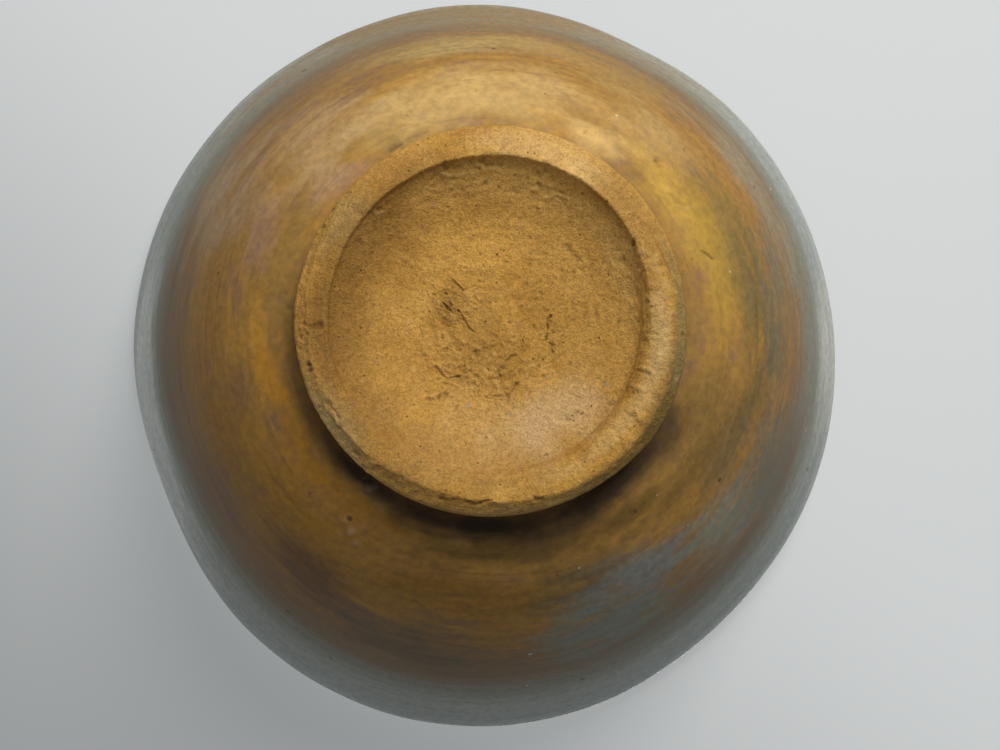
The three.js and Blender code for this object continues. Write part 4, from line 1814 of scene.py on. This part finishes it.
@dataclass
class GlazeCoat:
    """One glaze coat: a shell that lies on the clay and thins to nothing at its free edge."""

    form: BowlForm
    step: float = 0.72
    hidden_step: float = 3.0
    outer_thickness: float = 0.55
    inner_thickness: float = 0.5
    pool_depth: float = 0.9
    pool_radius: float = 22.0
    edge_taper: float = 1.4
    lip_step: float = 0.35
    inner_step: float = 0.9
    under_thinning: int = 4
    outer_ridges: tuple[Ridges, ...] = (
        Ridges(0.035, 5.3, 1),
        Ridges(0.022, 3.1, -2, 1.0),
        Ridges(0.014, 1.9, 3, 2.0),
    )
    inner_ridges: tuple[Ridges, ...] = (Ridges(0.10, 8.7, 1), Ridges(0.05, 4.1, -1, 1.0))
    throwing_lines: tuple[ThrowingLine, ...] = (
        ThrowingLine(46.4, 0.8, 0.10),
        ThrowingLine(48.9, 0.8, -0.08),
        ThrowingLine(53.8, 0.6, 0.10),
        ThrowingLine(55.4, 0.5, -0.07),
        ThrowingLine(57.4, 0.5, 0.12),
        ThrowingLine(59.2, 0.5, -0.09),
        ThrowingLine(61.2, 0.5, 0.12),
        ThrowingLine(63.6, 0.5, 0.08),
    )

    def outside(self) -> bpy.types.Object:
        """Turns the outer coat, from its edge above the foot to the crest of the lip.

        Returns:
            The piece.
        """
        form = self.form
        lip = form.lip(self.lip_step)
        edge_radius = form.seat_radius + form.glaze_clear_of_foot
        surface = [p for p in form.outer_wall(self.step) if p[0] > edge_radius]
        surface += lip[:len(lip) // 2 + 1]
        lengths = np.linalg.norm(np.diff(np.array(surface), axis=0), axis=1)
        travelled = np.concatenate([[0], np.cumsum(lengths)])
        thickness = self.outer_thickness * np.sqrt(np.clip(travelled / self.edge_taper, 0, 1))
        over = coated(surface, list(thickness))
        under = surface[::-1][::self.under_thinning]
        piece = turn("outer_coat", over + under + [over[0]], Resolution.WALL.value)
        work = HandWork(piece, form)
        height = work.true[:, 2]
        free = self.on_show(work, over) * smoothstep(31.0, 35.0, work.radius)
        ridges = sum(ridge.over(work.radius + height, work.bearing) for ridge in self.outer_ridges)
        ridges *= 1 + 0.7 * work.grain(26.0, 31)
        ridges *= 0.5 + 0.7 * smoothstep(38.0, 50.0, height)
        work.push(free * (ridges + 0.06 * work.grain(13.0, 32)))
        for line in self.throwing_lines:
            tilt = 1.1 * np.sin(work.bearing + line.level) + 0.5 * np.sin(2 * work.bearing + 3 * line.level)
            work.push(free * line.amount * bump_at(height + tilt, line.level, line.reach))
        work.draw_all(GLAZE_MARKS, GLAZE_MARK_SEED)
        work.lean_and_sag()
        work.finish()
        return piece

    def inside(self) -> bpy.types.Object:
        """Turns the inner coat, from the crest of the lip to the pool in the well.

        Returns:
            The piece.
        """
        form = self.form
        lip = form.lip(self.lip_step)
        surface = lip[len(lip) // 2:] + form.inner_wall(self.inner_step)
        places = np.array(surface)
        pool = self.pool_depth * (1 - smoothstep(0, self.pool_radius, places[:, 0]))
        low = places[:, 1] < form.clay_height / 2
        thickness = np.where(low, self.inner_thickness + pool, self.inner_thickness)
        thickness[0] = self.outer_thickness
        over = coated(surface, list(thickness))
        over[-1] = (0.0, over[-1][1])
        under = surface[::-1][:1] + surface[::-1][1::self.under_thinning]
        piece = turn("inner_coat", over + under[:-1] + [surface[0], over[0]], Resolution.INSIDE.value)
        work = HandWork(piece, form)
        on_show = self.on_show(work, over)
        along = work.true[:, 2] - work.radius
        ridges = sum(ridge.over(along, work.bearing) for ridge in self.inner_ridges)
        spiral = 0.10 * np.sin(work.radius * 1.3 - work.bearing) * (1 - smoothstep(14, 24, work.radius))
        upper = smoothstep(16.0, 24.0, work.radius) * (1 - smoothstep(62.0, 66.0, work.true[:, 2]))
        work.push(on_show * (ridges * upper + spiral * (work.true[:, 2] < 30)))
        work.lean_and_sag()
        work.finish()
        return piece

    @staticmethod
    def on_show(work: HandWork, over: list[Place]) -> np.ndarray:
        """Marks the coat's outer face, which is seen, apart from the face that lies on the clay.

        Args:
            work: the coat's hand work.
            over: the outer face's outline.

        Returns:
            1 on the face that shows and 0 under it.
        """
        radii, heights = np.array(over).T
        shown = np.zeros(len(work.true))
        for start in range(0, len(work.true), POINTS_AT_A_TIME):
            part = slice(start, start + POINTS_AT_A_TIME)
            gap = np.hypot(work.radius[part, None] - radii, work.true[part, 2][:, None] - heights)
            shown[part] = gap.min(axis=1) < ON_OUTLINE
        return shown


# The set.


@dataclass(frozen=True)
class PhotoCamera:
    """The camera under the bowl, looking up at its foot, as the turned-over bowl is seen from above."""

    place: Direction = (4.4, -25.9, -220.8)
    pitch: float = 4.49
    yaw: float = -1.45
    lens: float = 52.0

    def set_up(self) -> None:
        """Adds the camera and makes it the scene's own."""
        data = bpy.data.cameras.new("photo_camera")
        data.lens = self.lens
        data.sensor_width = 36.0
        data.clip_start = 0.01
        data.clip_end = 20.0
        camera = bpy.data.objects.new("photo_camera", data)
        bpy.context.scene.collection.objects.link(camera)
        turned_over = Matrix.Rotation(math.pi, 4, "Y")
        pitched = Matrix.Rotation(math.radians(self.pitch), 4, "X")
        yawed = Matrix.Rotation(math.radians(self.yaw), 4, "Y")
        camera.matrix_world = Matrix.Translation(Vector(self.place) * MM) @ turned_over @ (pitched @ yawed)
        bpy.context.scene.camera = camera


@dataclass(frozen=True)
class Lamp:
    """One soft lamp: which way it stands from the bowl, its distance and size in metres, and its power."""

    name: str
    towards: Direction
    distance: float
    size: float
    power: float
    colour: tuple[float, float, float] = (1.0, 0.985, 0.96)

    def hang(self, target: Vector) -> None:
        """Adds the lamp, turned to the bowl.

        Args:
            target: what it shines at, in metres.
        """
        data = bpy.data.lights.new(self.name, "AREA")
        data.shape = "DISK"
        data.size = self.size
        data.energy = self.power
        data.color = self.colour
        lamp = bpy.data.objects.new(self.name, data)
        bpy.context.scene.collection.objects.link(lamp)
        direction = Vector(self.towards).normalized()
        lamp.location = target + direction * self.distance
        lamp.rotation_euler = direction.to_track_quat("Z", "Y").to_euler()


@dataclass(frozen=True)
class Skylight:
    """Even light from high above: where it comes from, its spread in degrees and its strength."""

    name: str
    towards: Direction
    spread: float
    strength: float

    def hang(self) -> None:
        """Adds the skylight."""
        data = bpy.data.lights.new(self.name, "SUN")
        data.angle = math.radians(self.spread)
        data.energy = self.strength
        light = bpy.data.objects.new(self.name, data)
        bpy.context.scene.collection.objects.link(light)
        light.rotation_euler = Vector(self.towards).to_track_quat("Z", "Y").to_euler()


@dataclass
class Studio:
    """The plain set: a pale floor under the foot, a pale sheet over the mouth for the view from below, light.

    The sizes of floor and sheet are in metres, their clearances in millimetres. Each span says where one
    colour starts to run into another and where it has done so.
    """

    form: BowlForm
    floor_size: float = 60.0
    floor_clearance: float = 0.05
    contact_reach: float = 0.022
    sheet_width: float = 0.30
    sheet_depth: float = 0.24
    sheet_tilt: float = 0.045
    sheet_clearance: float = 5.1
    sheet_glow: float = 0.50
    floor_colour: Colour = (226, 227, 227)
    far_colour: Colour = (221, 224, 225)
    sheet_colour: Colour = (211, 214, 214)
    sheet_in_shade: Colour = (160, 163, 163)
    window_side: Colour = (172, 174, 176)
    room_side: Colour = (82, 83, 86)
    cloth_in_light: Colour = (178, 182, 184)
    cloth_in_shade: Colour = (140, 143, 146)
    dark_room: Colour = (40, 39, 37)
    sheet_fade: Span = (-0.15, 0.75)
    cloth_fade: Span = (-0.7, 0.1)
    window_fade: Span = (-0.9, 0.9)
    fill_horizon: Span = (-0.38, 0.34)
    mirrored_horizon: Span = (0.05, 0.85)
    window: Lamp = Lamp("window_from_below", (-0.29, 0.62, -0.73), 0.62, 0.30, 3.15)
    skylight: Skylight = Skylight("skylight", (-0.16, -0.19, 0.97), 20.0, 1.85)

    def set_up(self) -> None:
        """Adds the floor, the sheet, the lamps and the world."""
        self.floor()
        self.sheet()
        middle = Vector((0, 0, self.form.clay_height * MM / 2))
        self.window.hang(middle)
        self.skylight.hang()
        self.world()
        bpy.context.scene.view_settings.view_transform = "Standard"

    def floor_surface(self, layers: Layers) -> Socket:
        """The matt floor, darker where the foot stands close to it.

        Args:
            layers: the tree to work in.

        Returns:
            The shader.
        """
        near_foot = layers.add("ShaderNodeAmbientOcclusion", samples=4)
        near_foot.inputs["Color"].default_value = linear(self.floor_colour)
        near_foot.inputs["Distance"].default_value = self.contact_reach
        matt = layers.add("ShaderNodeBsdfDiffuse")
        layers.feed(matt.inputs["Color"], near_foot.outputs["Color"])
        return matt.outputs[0]

    def sheet_surface(self, layers: Layers) -> Socket:
        """The matt sheet, painted darker away from the window. Half of it glows: painted light that softens the
        bowl's shadow on it.

        Args:
            layers: the tree to work in.

        Returns:
            The shader.
        """
        x, y, _ = layers.parts(layers.add("ShaderNodeTexCoord").outputs["Object"])
        away_from_window = layers.graded(layers.plus(x, y), *self.sheet_fade)
        shaded = layers.mix(away_from_window, self.sheet_colour, self.sheet_in_shade)
        matt = layers.add("ShaderNodeBsdfDiffuse")
        layers.feed(matt.inputs["Color"], shaded)
        painted_glow = layers.add("ShaderNodeEmission")
        layers.feed(painted_glow.inputs["Color"], shaded)
        return layers.blend(self.sheet_glow, matt.outputs[0], painted_glow.outputs[0])

    @staticmethod
    def show_from_front(layers: Layers, surface: Socket) -> None:
        """Makes a surface clear from behind.

        Args:
            layers: the tree to work in.
            surface: the front's shader.
        """
        facing = layers.add("ShaderNodeNewGeometry")
        clear = layers.add("ShaderNodeBsdfTransparent")
        layers.show(layers.blend(facing.outputs["Backfacing"], surface, clear.outputs[0]))

    @staticmethod
    def camera_only(obj: bpy.types.Object) -> None:
        """Keeps a piece of the set out of every ray but the camera's, so it blocks no lamp.

        Args:
            obj: the piece of the set.
        """
        obj.visible_diffuse = False
        obj.visible_glossy = False
        obj.visible_transmission = False
        obj.visible_shadow = False
        obj.visible_volume_scatter = False

    def floor(self) -> None:
        """Adds the floor that the foot stands on, seen from above only."""
        bpy.ops.object.select_all(action="DESELECT")
        bpy.ops.mesh.primitive_plane_add(size=self.floor_size, location=(0, 0, -self.floor_clearance * MM))
        floor = bpy.context.object
        floor.name = "floor"
        material, layers = new_material("pale_floor")
        self.show_from_front(layers, self.floor_surface(layers))
        floor.data.materials.append(material)
        self.camera_only(floor)

    def sheet(self) -> None:
        """Adds the sheet over the mouth, seen from below only, tilted to clear the upright views."""
        bpy.ops.object.select_all(action="DESELECT")
        bpy.ops.mesh.primitive_plane_add(size=1.0)
        sheet = bpy.context.object
        sheet.name = "sheet"
        rise = (self.form.clay_height + self.sheet_clearance) * MM
        across = Vector((1, 0, -self.sheet_tilt)).normalized()
        along = Vector((0, 1, self.sheet_tilt)).normalized()
        down = along.cross(across).normalized()
        turned = Matrix((across, down.cross(across), down)).transposed().to_4x4()
        size = Matrix.Diagonal((self.sheet_width, self.sheet_depth, 1.0, 1.0))
        sheet.matrix_world = Matrix.Translation((0, 0, rise)) @ turned @ size
        material, layers = new_material("pale_sheet")
        self.show_from_front(layers, self.sheet_surface(layers))
        sheet.data.materials.append(material)
        self.camera_only(sheet)

    def world(self) -> None:
        """Lights the set softly from the window's side, and gives reflections a pale cloth and a dim room."""
        world = bpy.data.worlds.new("pale_room")
        bpy.context.scene.world = world
        world.use_nodes = True
        world.node_tree.nodes.clear()
        layers = Layers(world.node_tree)
        towards = layers.add("ShaderNodeTexCoord").outputs["Generated"]
        window = layers.vector("DOT_PRODUCT", towards, Vector(self.window.towards).normalized())
        _, y, z = layers.parts(towards)
        cloth = layers.mix(layers.graded(y, *self.cloth_fade), self.cloth_in_shade, self.cloth_in_light)
        room = layers.mix(layers.graded(window, *self.window_fade), self.room_side, self.window_side)
        fill = layers.mix(layers.graded(z, *self.fill_horizon), room, cloth)
        mirrored = layers.mix(layers.graded(z, *self.mirrored_horizon), self.dark_room, cloth)
        ray = layers.add("ShaderNodeLightPath").outputs
        glossy = layers.math("MAXIMUM", ray["Is Glossy Ray"], ray["Is Transmission Ray"])
        lit = layers.blend(glossy, self.sky(layers, fill), self.sky(layers, mirrored))
        surround = self.sky(layers, linear(self.far_colour))
        layers.show(layers.blend(ray["Is Camera Ray"], lit, surround), "ShaderNodeOutputWorld")

    @staticmethod
    def sky(layers: Layers, colour: object) -> Socket:
        """One background of the world, all round the bowl.

        Args:
            layers: the tree to work in.
            colour: a socket or a linear colour.

        Returns:
            The background's shader.
        """
        background = layers.add("ShaderNodeBackground")
        layers.feed(background.inputs["Color"], colour)
        return background.outputs[0]


def dress(piece: bpy.types.Object, material: bpy.types.Material, node: str) -> None:
    """Gives a piece its finish and its place in the frame.

    Args:
        piece: the finished mesh.
        material: its finish.
        node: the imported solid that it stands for.
    """
    piece.data.materials.clear()
    piece.data.materials.append(material)
    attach(piece, BODY)
    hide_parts(node)
    LOG.info("%s: %d faces, for %s", piece.name, len(piece.data.polygons), node)


def main() -> None:
    """Builds the bowl, dresses it and sets the camera and the lamps."""
    logging.basicConfig(level=logging.INFO, format="%(name)s %(message)s")
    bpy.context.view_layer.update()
    form = BowlForm.from_frame()
    groups = Groups.made()
    PhotoCamera().set_up()
    Studio(form).set_up()
    clay = BareClay().made(groups)
    coat = GlazeCoat(form)
    dress(ClayBowl(form).built(), clay, "clay_bowl")
    dress(FootRing(form).built(), clay, "foot_ring")
    dress(coat.outside(), OUTER_GLAZE.made(groups), "outer_glaze")
    dress(coat.inside(), INNER_GLAZE.made(groups), "inner_glaze")
    bpy.ops.object.select_all(action="DESELECT")


if __name__ == "__main__":
    main()
